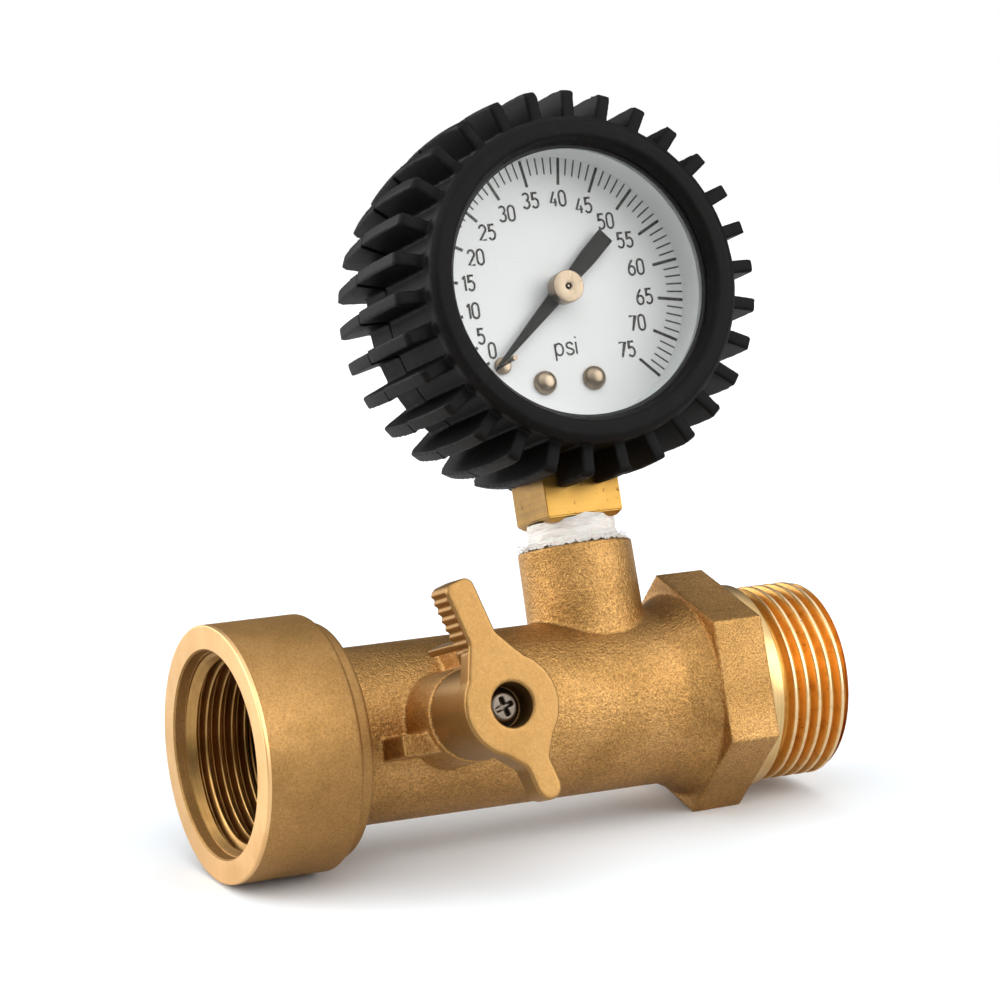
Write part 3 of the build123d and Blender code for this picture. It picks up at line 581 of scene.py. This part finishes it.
def male_radius(a, t):
    """The outlet thread's radius, starting at the neck and chamfered at the pipe's end."""
    fade = share(a - OUTLET_RUNOUT_FROM, OUTLET_RUNOUT)
    full = OUTLET_ROOT + OUTLET_DEPTH * ridge(a, t, OUTLET_CREST, OUTLET_TURN) * fade
    chamfer = END_RADIUS + max(0.0, PIPE_LENGTH - a) * END_CHAMFER
    return min(full, chamfer, OUTLET_LIMIT)


# ---------------------------------------------------------------- brass body
CAST_VOXEL = 0.22
CAST_SMOOTHING = 9
# Profiles are lists of (distance along the axis, radius).
HEXAGON_FROM, HEXAGON_TO, HEXAGON_RADIUS = 67.75, 75.15, 16.3
BOSS_TOP, BOSS_MOUTH = 21.1, 6.9
TUBE_MOUTH, TUBE_MOUTH_RADIUS = 12.9, 12.5
OUTLET_FACE = 74.8
COLLAR_RADIUS = 16.86
COLLAR_EDGE = 0.6
OUTLET_BORE = 9.3


def hexagon(x0, x1, r):
    corners = [math.radians(90 + 60 * k) for k in range(6)]
    return [flow(x, r, t) for x in (x0, x1) for t in corners]


def block(x0, x1, y0, y1, z0, z1):
    corners = ((x0, y0), (x1, y0), (x1, y1), (x0, y1))
    return [Vector((x, y, z)) * MM for z in (z0, z1) for x, y in corners]


def cut_open(centre):
    """True where the closed casting must be open: the boss's mouth, the inlet end and the outlet bore."""
    x, y, z = centre / MM
    from_axis = math.hypot(y, z)
    boss = z > BOSS_TOP and math.hypot(x - BOSS_X, y) < BOSS_MOUTH
    inlet = x < TUBE_MOUTH and from_axis < TUBE_MOUTH_RADIUS
    outlet = x > OUTLET_FACE and from_axis < OUTLET_BORE - 0.02
    return boss or inlet or outlet


TUBE = [(12.0, 11.7), (72.0, 11.75)]
TUBE_FLARE = [(61.6, 10.6), (67.95, 13.7)]
SPINDLE_BOSS = [(4.0, 6.3), (18.98, 6.2)]
GAUGE_BOSS = [(4.0, 7.95), (21.4, 7.75)]
LOWER_LUG = block(18.6, 25.0, -17.6, -9.0, -4.2, -1.35)
UPPER_LUG = block(29.65, 32.35, -17.5, -7.4, 3.0, 9.7)
CASTING_PARTS = [
    ("lathe", flow, TUBE, 160),
    ("prism", hexagon(HEXAGON_FROM, HEXAGON_TO, HEXAGON_RADIUS)),
    ("lathe", flow, TUBE_FLARE, 160),
    ("lathe", spindle, SPINDLE_BOSS, 96),
    ("lathe", stem, GAUGE_BOSS, 96),
    ("prism", LOWER_LUG),
    ("prism", UPPER_LUG),
]
casting = remeshed(
    "body_casting", primitives(CASTING_PARTS), CAST_VOXEL, CAST_SMOOTHING, CAST, "base", "cast_brass",
    ("valve_body",),
)
opened = bmesh.new()
opened.from_mesh(casting.data)
doomed = [f for f in opened.faces if cut_open(f.calc_center_median())]
bmesh.ops.delete(opened, geom=doomed, context="FACES")
opened.to_mesh(casting.data)
opened.free()

collar_back = rounded([
    (14.4, 11.3), (15.5, 11.75), (15.5, 15.6), (13.45, 15.6), (13.45, COLLAR_RADIUS),
    (COLLAR_EDGE, COLLAR_RADIUS),
], radius=0.7, steps=6)
collar_front = rounded([(COLLAR_EDGE, COLLAR_RADIUS), (0.0, COLLAR_RADIUS), (0.0, 13.75)], radius=0.3, steps=6)
counterbore = rounded([(0.0, 13.76), (0.22, 13.54), (1.62, 13.5), (1.66, INLET_ROOT)], radius=0.06, steps=3)
waterway = rounded([
    (INLET_END, INLET_ROOT), (12.8, 13.3), (12.8, 8.6), (36.6, 8.6), (36.6, 6.5), (69.0, 6.5),
    (71.8, OUTLET_BORE), (PIPE_LENGTH, OUTLET_BORE),
], radius=0.15, steps=2)
shoulder = rounded([
    (74.9, 13.0), (74.95, 13.85), (77.0, 13.85), (77.0, OUTLET_ROOT), (78.0, OUTLET_ROOT),
], radius=0.1, steps=3)
end_face = rounded([
    (PIPE_LENGTH, END_RADIUS), (PIPE_LENGTH, OUTLET_BORE), (87.0, OUTLET_BORE),
], radius=0.15, steps=3)
boss_rim = rounded([(20.9, 7.0), (21.22, 6.85), (21.22, 5.2), (18.0, 5.2)], radius=0.15, steps=3)
inlet_thread = helix(flow, INLET_START, INLET_END, step=0.08, radius_at=female_radius, steps=220)
outlet_thread = helix(flow, OUTLET_START, PIPE_LENGTH, step=0.075, radius_at=male_radius, steps=240)

BRASS_TURNINGS = [
    ("collar_casting", lathe(flow, collar_back, steps=240), COLLAR),
    ("collar_face", lathe(flow, collar_front, steps=240), FACE),
    ("collar_counterbore", lathe(flow, counterbore, steps=240), COLLAR),
    ("inlet_thread_bore", inlet_thread, BORE),
    ("waterway_bore", lathe(flow, waterway, steps=120), BORE),
    ("turned_shoulder", lathe(flow, shoulder, steps=240), SHOULDER),
    ("outlet_thread_turned", outlet_thread, THREAD),
    ("outlet_end_face", lathe(flow, end_face, steps=200), THREAD),
    ("boss_rim_turned", lathe(stem, boss_rim, steps=96), FACE),
]
for name, mesh, material in BRASS_TURNINGS:
    piece(name, *mesh, material, "base", "cast_brass")


# ---------------------------------------------------------------- lever
LEVER_VOXEL, LEVER_SMOOTHING = 0.14, 34
SCREW_VOXEL, SCREW_SMOOTHING = 0.07, 16
GROOVE_FROM, GROOVE_TO, GROOVE_STEP, GROOVE_DEPTH = 8.8, 16.4, 1.16, 0.12
GROOVE_TOP, GROOVE_INNER = 30.4, 1.0
GROOVE_LEAD = 0.5


def copy_mesh(node):
    return nodes[node].data.copy()


handle = remeshed(
    "lever_casting", copy_mesh("lever_handle"), LEVER_VOXEL, LEVER_SMOOTHING, LEVER, "lever", "lever_brass",
    ("lever_handle",),
)
for v in handle.data.vertices:
    x, out, z = v.co.x / MM - STEM_X, -v.co.y / MM, v.co.z / MM
    along = x * math.cos(LEVER_ANGLE) + z * math.sin(LEVER_ANGLE)
    across = -x * math.sin(LEVER_ANGLE) + z * math.cos(LEVER_ANGLE)
    ends = share(along - GROOVE_FROM + GROOVE_LEAD, 0.2) * share(GROOVE_TO - along, 0.2)
    rims = share(GROOVE_TOP - out, 0.3) * share(across - GROOVE_INNER, 0.5)
    wave = 0.5 + 0.5 * math.cos(2 * math.pi * (along - GROOVE_FROM) / GROOVE_STEP)
    shift = -GROOVE_DEPTH * ends * rims * wave
    v.co.x += -math.sin(LEVER_ANGLE) * shift * MM
    v.co.z += math.cos(LEVER_ANGLE) * shift * MM

# A dark tube of painted shade lines the lever's recess round the screw.
shade_lining = rounded([(30.25, 2.84), (27.06, 2.84), (27.06, 1.9)], radius=0.15, steps=3)
piece("recess_painted_shade", *lathe(lever_turned, shade_lining, steps=72), PAINTED_SHADE, "lever", "lever_brass")
remeshed(
    "screw_head", copy_mesh("handle_screw"), SCREW_VOXEL, SCREW_SMOOTHING, STEEL, "lever", "plated_steel",
    ("handle_screw",),
)


# ---------------------------------------------------------------- boot
BOOT_VOXEL, BOOT_SMOOTHING = 0.24, 4
PARTING = 0.1
REAR_HALF_TURN = 0.45
GAUGE_AXIS = (gauge(0, 0, 1) - gauge(0, 0, 0)).normalized()


def boot_half(name, front, turn, replaced):
    """One half of the moulding, cut at the parting plane and turned a few tenths of a degree."""
    bm = bmesh.new()
    bm.from_mesh(nodes["rubber_boot"].data)
    bmesh.ops.remove_doubles(bm, verts=bm.verts, dist=1e-6)
    bmesh.ops.bisect_plane(
        bm,
        geom=bm.verts[:] + bm.edges[:] + bm.faces[:],
        plane_co=gauge(0, 0, PARTING),
        plane_no=GAUGE_AXIS,
        clear_inner=front,
        clear_outer=not front,
    )
    bmesh.ops.triangle_fill(bm, edges=[e for e in bm.edges if e.is_boundary], use_beauty=True)
    turned = Matrix.Rotation(math.radians(turn), 3, GAUGE_AXIS)
    bmesh.ops.rotate(bm, verts=bm.verts, cent=gauge(0, 0, 0), matrix=turned)
    mesh = bpy.data.meshes.new(name)
    bm.to_mesh(mesh)
    bm.free()
    return remeshed(name, mesh, BOOT_VOXEL, BOOT_SMOOTHING, RUBBER, "base", "boot_rubber", replaced)


boot_half("boot_front_half", True, 0.0, ("rubber_boot",))
boot_half("boot_rear_half", False, REAR_HALF_TURN, ())


# ---------------------------------------------------------------- sealing tape
TAPE_BOTTOM, TAPE_HEIGHT, TAPE_RADIUS = 21.15, 3.75, 5.95
FLAP_HEIGHT, FLAP_SPREAD = 0.47, 0.42
SKIRT_BOTTOM, SKIRT_INNER, SKIRT_REACH = 21.28, 6.0, 7.35
STRANDS, STRAND_STEPS = 110, 9
STRAND_HEIGHT, STRAND_ROOT = 21.75, 6.4


def winding(u, t):
    """The wound band, with a flap that stands up in front of the shank."""
    from_front = (t + math.pi / 2 + math.pi) % (2 * math.pi) - math.pi
    flap = math.exp(-(from_front / FLAP_SPREAD) ** 2)
    ragged = 0.16 * noise.noise(Vector((math.cos(t) * 4, math.sin(t) * 4, 3.0)))
    a = TAPE_BOTTOM + u * (TAPE_HEIGHT + FLAP_HEIGHT * flap + ragged)
    p = Vector((math.cos(t) * 2.4, math.sin(t) * 2.4, a * 1.1))
    layers = 0.045 * math.sin(a * 5.0 + 1.6 * math.sin(t))
    swell = 0.22 * noise.noise(p) + 0.14 * noise.noise(p * 2.7) + layers
    return a, TAPE_RADIUS + swell + 0.35 * (1 - u) ** 3


def skirt(u, t):
    """Loose tape squeezed out over the rim of the boss."""
    p = Vector((math.cos(t) * 5, math.sin(t) * 5, 1.7))
    reach = SKIRT_REACH + 0.5 * noise.noise(p) + 0.35 * noise.noise(p * 3.0)
    rise = 1.3 * (1 - u) ** 1.2 + 0.35 * u * (noise.noise(p * 2.2) + noise.noise(p * 5.0) + 0.5)
    return SKIRT_BOTTOM + max(0.0, rise), SKIRT_INNER + (reach - SKIRT_INNER) * u


def strand(k):
    """Pairs of edge points of one loose strand; the sines of k vary the strands without chance."""
    t = 2 * math.pi * k / STRANDS + 0.2 * math.sin(k * 5.3)
    reach = 1.0 + 1.0 * abs(math.sin(k * 3.7 + 1.0))
    lift = 0.5 + 0.75 * math.sin(k * 1.9)
    points = []
    for step in range(STRAND_STEPS + 1):
        u = step / STRAND_STEPS
        half_width = 0.05 * (1 - u) + 0.018
        side = t + 0.28 * u * math.sin(k * 4.4) + 0.05 * math.sin(u * 9 + k)
        height = STRAND_HEIGHT + lift * u + 0.18 * math.sin(u * 8 + k)
        points.append(stem(height - half_width, STRAND_ROOT + reach * u, side))
        points.append(stem(height + half_width, STRAND_ROOT + 0.02 + reach * u, side))
    return points


def strip_faces(start, steps):
    """Quads of a strip whose points come in pairs, left edge then right edge."""
    return [(start + 2 * i, start + 2 * i + 2, start + 2 * i + 3, start + 2 * i + 1) for i in range(steps)]


wound = sheet(rows=30, steps=150, point=winding)
piece("tape_winding", *wound, TAPE, "base", "sealing_tape", ("thread_tape",))
piece("tape_skirt", *sheet(rows=8, steps=220, point=skirt), TAPE, "base", "sealing_tape")
strands, strand_faces = [], []
for k in range(STRANDS):
    strand_faces += strip_faces(len(strands), STRAND_STEPS)
    strands += strand(k)
piece("tape_strands", strands, strand_faces, TAPE, "base", "sealing_tape")


# ---------------------------------------------------------------- dial print
PRINT_LEVEL = 7.935
TICK_OUTER, LONG_TICK_INNER, SHORT_TICK_INNER = 18.2, 14.5, 15.9
LONG_TICK_WIDTH, SHORT_TICK_WIDTH = 0.42, 0.22
FULL_SCALE, MAJOR_STEP = 75, 5
NUMERAL_HEIGHT, NUMERAL_STROKE, NUMERAL_SQUEEZE = 2.05, 0.305, 0.86
UNIT_AT, UNIT_HEIGHT, UNIT_STROKE, UNIT_SQUEEZE = (-0.3, -7.5), 2.5, 0.27, 0.95
NUMERALS = {
    0: (-10.9, -7.15), 5: (-12.2, -5.1), 10: (-12.85, -1.62), 15: (-12.9, 2.15), 20: (-11.2, 5.5),
    25: (-9.03, 8.73), 30: (-5.78, 11.02), 35: (-2.08, 12.5), 40: (1.93, 12.45), 45: (5.56, 11.23),
    50: (8.41, 8.85), 55: (10.83, 6.05), 60: (11.84, 2.21), 65: (12.42, -1.89), 70: (10.76, -5.38),
    75: (8.64, -8.81),
}


def at(radius, angle):
    return (radius * math.cos(math.radians(angle)), radius * math.sin(math.radians(angle)))


def arc(cx, cy, rx, ry, start, end, count=14):
    angles = [math.radians(start + (end - start) * k / count) for k in range(count + 1)]
    return [(cx + rx * math.cos(t), cy + ry * math.sin(t)) for t in angles]


# Each character's pen strokes, on a height of 1.
STROKES = {
    "0": [arc(0.26, 0.72, 0.26, 0.28, 0, 180) + arc(0.26, 0.28, 0.26, 0.28, 180, 360) + [(0.52, 0.72)]],
    "1": [[(0.30, 0.0), (0.30, 1.0)], [(0.10, 0.78), (0.28, 0.94)]],
    "2": [arc(0.26, 0.73, 0.26, 0.27, 170, -25) + [(0.0, 0.02), (0.52, 0.02)]],
    "3": [arc(0.25, 0.76, 0.24, 0.24, 150, -80), arc(0.25, 0.27, 0.27, 0.27, 85, -155)],
    "4": [[(0.36, 1.0), (0.0, 0.27), (0.54, 0.27)], [(0.39, 0.52), (0.39, 0.0)]],
    "5": [[(0.50, 0.98), (0.09, 0.98), (0.06, 0.50)] + arc(0.25, 0.31, 0.27, 0.31, 128, -150)],
    "6": [[(0.36, 1.0), (0.14, 0.72), (0.02, 0.48)] + arc(0.26, 0.29, 0.26, 0.29, 165, -195, 24)],
    "7": [[(0.0, 0.98), (0.52, 0.98), (0.18, 0.0)]],
    "p": [[(0.0, 0.66), (0.0, -0.28)], arc(0.24, 0.33, 0.24, 0.32, 180, -180, 24)],
    "s": [[(0.42, 0.52), (0.34, 0.63), (0.22, 0.66), (0.08, 0.62), (0.02, 0.50), (0.08, 0.39), (0.24, 0.33),
           (0.38, 0.27), (0.44, 0.16), (0.38, 0.05), (0.24, 0.0), (0.08, 0.03), (0.0, 0.15)]],
    "i": [[(0.0, 0.66), (0.0, 0.0)], [(0.0, 0.86), (0.0, 0.95)]],
}
ADVANCE = {"1": 0.52, "p": 0.68, "s": 0.62, "i": 0.18}
DIGIT_ADVANCE = 0.74
LETTER_GAP = 0.2


def ribbon(points, width):
    """Left and right edges of a flat stroke."""
    out = []
    for i, p in enumerate(points):
        a, b = points[max(0, i - 1)], points[min(len(points) - 1, i + 1)]
        d = (b[0] - a[0], b[1] - a[1])
        length = math.hypot(*d) or 1.0
        n = (-d[1] / length, d[0] / length)
        stretch = 1.0
        if 0 < i < len(points) - 1:
            e = (p[0] - a[0], p[1] - a[1])
            step = math.hypot(*e) or 1.0
            cosine = abs((e[0] * d[0] + e[1] * d[1]) / (step * length))
            stretch = min(1.8, 1 / max(0.45, cosine))
        h = width / 2 * stretch
        out.append(((p[0] + n[0] * h, p[1] + n[1] * h), (p[0] - n[0] * h, p[1] - n[1] * h)))
    return out


print_verts, print_faces = [], []


def printed(polyline, width):
    """Adds one stroke to the dial's print."""
    edges = ribbon(polyline, width)
    start = len(print_verts)
    for pair in edges:
        for x, y in pair:
            print_verts.append(gauge(x, y, PRINT_LEVEL))
    for i in range(start, start + 2 * (len(edges) - 1), 2):
        print_faces.append((i, i + 1, i + 3, i + 2))


def lettering(text, x, y, height, width, squeeze):
    """Adds a word, centred on a point."""
    advance = [ADVANCE.get(c, DIGIT_ADVANCE) * height * squeeze for c in text]
    left = x - (sum(advance) - LETTER_GAP * height * squeeze) / 2
    for c, step in zip(text, advance):
        for stroke in STROKES[c]:
            printed([(left + px * height * squeeze, y + (py - 0.5) * height) for px, py in stroke], width)
        left += step


def scale_angle(value):
    """Where a pressure stands on the dial, in degrees; the first step is shorter than the others."""
    if value < MAJOR_STEP:
        return 217.0 - (217.0 - 206.6) * value / MAJOR_STEP
    return 225 - 3.6 * value


for value in [0, *range(MAJOR_STEP, FULL_SCALE + 1)]:
    long_tick = value % MAJOR_STEP == 0
    inner = LONG_TICK_INNER if long_tick else SHORT_TICK_INNER
    width = LONG_TICK_WIDTH if long_tick else SHORT_TICK_WIDTH
    printed([at(inner, scale_angle(value)), at(TICK_OUTER, scale_angle(value))], width)
for value, (x, y) in NUMERALS.items():
    lettering(str(value), x, y, NUMERAL_HEIGHT, NUMERAL_STROKE, NUMERAL_SQUEEZE)
lettering("psi", *UNIT_AT, UNIT_HEIGHT, UNIT_STROKE, UNIT_SQUEEZE)
piece("dial_printing", print_verts, print_faces, PRINT, "base", "dial_white", smooth=False)


# ---------------------------------------------------------------- gauge trim
DIAL_FACE = 7.93
RIVETS = {"left": -4.05, "right": 3.15}
RIVET_Y, RIVET_RADIUS, RIVET_RIM, RIVET_RISE = -12.2, 1.6, 8.15, 0.85
STOP_AT = (-9.83, -9.37)
STOP_SLOT_ANGLE = math.radians(25)
STOP_SLOT_LEVEL, STOP_SLOT_LENGTH, STOP_SLOT_WIDTH = 8.64, 2.1, 0.26
POINT = 0.001

dome = [(DIAL_FACE, RIVET_RADIUS + 0.02), (RIVET_RIM, RIVET_RADIUS + 0.02)]
for q in range(10, 90, 8):
    t = math.radians(q)
    dome.append((RIVET_RIM + RIVET_RISE * math.sin(t), RIVET_RADIUS * math.cos(t) ** 0.8))
dome.append((RIVET_RIM + RIVET_RISE, POINT))
for side, x in RIVETS.items():
    rivet = lathe(around(x, RIVET_Y), dome, steps=48)
    piece("rivet_dome_" + side, *rivet, NICKEL, "base", "nickel_brass", ("dial_rivet_" + side,))

head = rounded([(DIAL_FACE, 1.15), (8.5, 1.15), (8.62, 0.2), (8.62, POINT)], radius=0.2, steps=3)
screw = lathe(around(*STOP_AT), head, steps=40)
piece("stop_screw_head", *screw, NICKEL, "base", "nickel_brass", ("stop_screw",))
# The slot is a flat dark quad of painted shade laid over the screw head.
cosine, sine = math.cos(STOP_SLOT_ANGLE), math.sin(STOP_SLOT_ANGLE)
slot_corners = []
for u, w in ((1, 1), (1, -1), (-1, -1), (-1, 1)):
    u, w = u * STOP_SLOT_LENGTH / 2, w * STOP_SLOT_WIDTH / 2
    x = STOP_AT[0] + u * cosine - w * sine
    y = STOP_AT[1] + u * sine + w * cosine
    slot_corners.append(gauge(x, y, STOP_SLOT_LEVEL))
piece("stop_screw_slot_shade", slot_corners, [(0, 1, 2, 3)], PAINTED_SHADE, "base", "nickel_brass", smooth=False)

bezel = rounded([(14.65, 18.6), (14.65, 17.95), (15.15, 17.95), (15.2, 18.6)], radius=0.12, steps=3)
piece("bezel_turned", *lathe(around(0, 0), bezel, steps=160), ENAMEL, "base", "black_case", ("bezel_ring",))
hub = rounded([(9.22, 2.17), (11.42, 2.19), (11.42, 0.5), (11.3, 0.36), (10.6, 0.36)], radius=0.1, steps=3)
piece("hub_turned", *lathe(around(0, 0), hub, steps=72), NICKEL, "pointer", "nickel_brass", ("pointer_hub",))
# A dark cone of painted shade fills the hub's hole.
hole = [(11.2, 0.35), (11.1, POINT)]
piece("hub_hole_shade", *lathe(around(0, 0), hole, steps=32), PAINTED_SHADE, "pointer", "nickel_brass")
arbor_end = rounded([(11.1, 0.17), (11.36, 0.17), (11.36, POINT)], radius=0.05, steps=2)
piece("arbor_end", *lathe(around(0, 0), arbor_end, steps=24), NICKEL, "pointer", "nickel_brass")


# ---------------------------------------------------------------- square shank
SHANK_SIDE = 11.0
SHANK_BOTTOM = 24.6
SHANK_CHAMFER = 0.7
SHANK_EDGE = 0.12


def shank_mesh():
    """A square block in line with the dial, its lower edges chamfered and all its edges eased."""
    bm = bmesh.new()
    bmesh.ops.create_cube(bm, size=1.0)
    for v in bm.verts:
        x, y = v.co.x * SHANK_SIDE, v.co.y * SHANK_SIDE
        z = SHANK_BOTTOM + (v.co.z + 0.5) * SHANK_SIDE
        east = BOSS_X + x * DIAL_RIGHT[0] - y * DIAL_RIGHT[1]
        v.co = Vector((east, x * DIAL_RIGHT[1] + y * DIAL_RIGHT[0], z)) * MM
    bottom = [e for e in bm.edges if all(v.co.z < (SHANK_BOTTOM + 0.4) * MM for v in e.verts)]
    bmesh.ops.bevel(bm, geom=bottom, offset=SHANK_CHAMFER * MM, segments=1, affect="EDGES")
    bmesh.ops.bevel(bm, geom=list(bm.edges), offset=SHANK_EDGE * MM, segments=2, affect="EDGES")
    mesh = bpy.data.meshes.new("shank")
    bm.to_mesh(mesh)
    bm.free()
    shaded(mesh, SHANK, False)
    return mesh


placed("square_shank", shank_mesh(), "base", "gauge_brass", ("gauge_socket",))


# ---------------------------------------------------------------- floor
# The object stands on its collar and its hexagon, so the floor's upward direction leans in the part's frame.
UP = Vector((-0.028, -0.333, 0.942)).normalized()
TOUCH_X = 13.4
FLOOR_LEFT, FLOOR_RIGHT, FLOOR_NEAR, FLOOR_FAR = -1.2, 1.4, -0.9, 0.42
PAPER_SEEN = (0.89, 0.935, 0.97)
PAPER_BOUNCE = (0.66, 0.66, 0.66)

touch = Vector((TOUCH_X, 0, 0)) * MM - UP * COLLAR_RADIUS * MM
side_x = (Vector((1, 0, 0)) - UP * UP.x).normalized()
side_y = UP.cross(side_x)
floor_plan = (
    (FLOOR_LEFT, FLOOR_NEAR), (FLOOR_RIGHT, FLOOR_NEAR), (FLOOR_RIGHT, FLOOR_FAR), (FLOOR_LEFT, FLOOR_FAR),
)
floor_mesh = bpy.data.meshes.new("floor")
floor_mesh.from_pydata([tuple(touch + side_x * a + side_y * b) for a, b in floor_plan], [], [(0, 1, 2, 3)])
floor = bpy.data.objects.new("floor", floor_mesh)
bpy.context.scene.collection.objects.link(floor)
ground = bpy.data.materials.new("pale_floor")
ground.use_nodes = True
gt = ground.node_tree
gt.nodes.remove(gt.nodes["Principled BSDF"])
seen_paper = shader_node(gt, "ShaderNodeBsdfDiffuse", PAPER_SEEN)
bounce_paper = shader_node(gt, "ShaderNodeBsdfDiffuse", PAPER_BOUNCE)
by_camera = gt.nodes.new("ShaderNodeLightPath").outputs["Is Camera Ray"]
mix_shaders(gt, by_camera, bounce_paper, seen_paper, "Material Output")
floor.data.materials.append(ground)


# ---------------------------------------------------------------- light
CAMERA_AT = Vector((-207.858, -511.582, -21.458)) * MM
FORWARD = Vector((0.44320, 0.89209, 0.08798)).normalized()
RIGHT = Vector((0.89114, -0.42782, -0.15116)).normalized()
# Name, degrees to the viewer's right, degrees above the floor, radiance, and width in degrees.
LIGHTS = (
    ("key_right", 68, 26, 3.9, 45),
    ("left_side", -84, 22, 4.6, 45),
    ("front_fill", 6, 46, 0.9, 60),
    ("left_back", -126, 6, 2.6, 40),
)
# The sky's grey levels against the sine of the height above the floor.
SKY = ((0.3, 0.07), (0.6, 0.22), (0.84, 1))
SKY_STRENGTH = 1.35


def soft_light(name, sideways, rise, radiance, width):
    """A distant round soft light."""
    turn, up = math.radians(sideways), math.radians(rise)
    level_forward = (FORWARD - UP * FORWARD.dot(UP)).normalized()
    level_right = level_forward.cross(UP).normalized()
    level = level_right * math.sin(turn) - level_forward * math.cos(turn)
    towards = level * math.cos(up) + UP * math.sin(up)
    lamp = bpy.data.lights.new(name, "SUN")
    lamp.angle = math.radians(width)
    lamp.energy = radiance * math.pi * math.sin(lamp.angle / 2) ** 2
    obj = bpy.data.objects.new(name, lamp)
    obj.matrix_world = (-towards).to_track_quat("-Z", "Y").to_matrix().to_4x4()
    bpy.context.scene.collection.objects.link(obj)


for row in LIGHTS:
    soft_light(*row)

world = bpy.data.worlds.new("studio")
world.use_nodes = True
wt = world.node_tree
sky = wt.nodes["Background"]
heading = wt.nodes.new("ShaderNodeTexCoord")
height = wt.nodes.new("ShaderNodeVectorMath")
height.operation = "DOT_PRODUCT"
height.inputs[1].default_value = UP
wt.links.new(heading.outputs["Generated"], height.inputs[0])
greys = [(position, (level, level, level)) for position, level in SKY]
wt.links.new(ramp(wt, height.outputs["Value"], greys), sky.inputs["Color"])
sky.inputs["Strength"].default_value = SKY_STRENGTH
backdrop = shader_node(wt, "ShaderNodeBackground", WHITE)
by_camera = wt.nodes.new("ShaderNodeLightPath").outputs["Is Camera Ray"]
mix_shaders(wt, by_camera, sky, backdrop, "World Output")
bpy.context.scene.world = world
bpy.context.scene.view_settings.view_transform = "Standard"


# ---------------------------------------------------------------- camera
camera_up = RIGHT.cross(FORWARD).normalized()
camera_right = FORWARD.cross(camera_up).normalized()
camera_pose = Matrix((camera_right, camera_up, -FORWARD)).transposed().to_4x4()
camera_pose.translation = CAMERA_AT
camera_data = bpy.data.cameras.new("photo_camera")
camera_data.sensor_width = 36.0
camera_data.lens = 153.87
camera_data.shift_x = -0.0009
camera_data.shift_y = -0.0015
camera_data.clip_start = 0.05
camera_data.clip_end = 20.0
camera = bpy.data.objects.new("photo_camera", camera_data)
camera.matrix_world = camera_pose
bpy.context.scene.collection.objects.link(camera)
bpy.context.scene.camera = camera
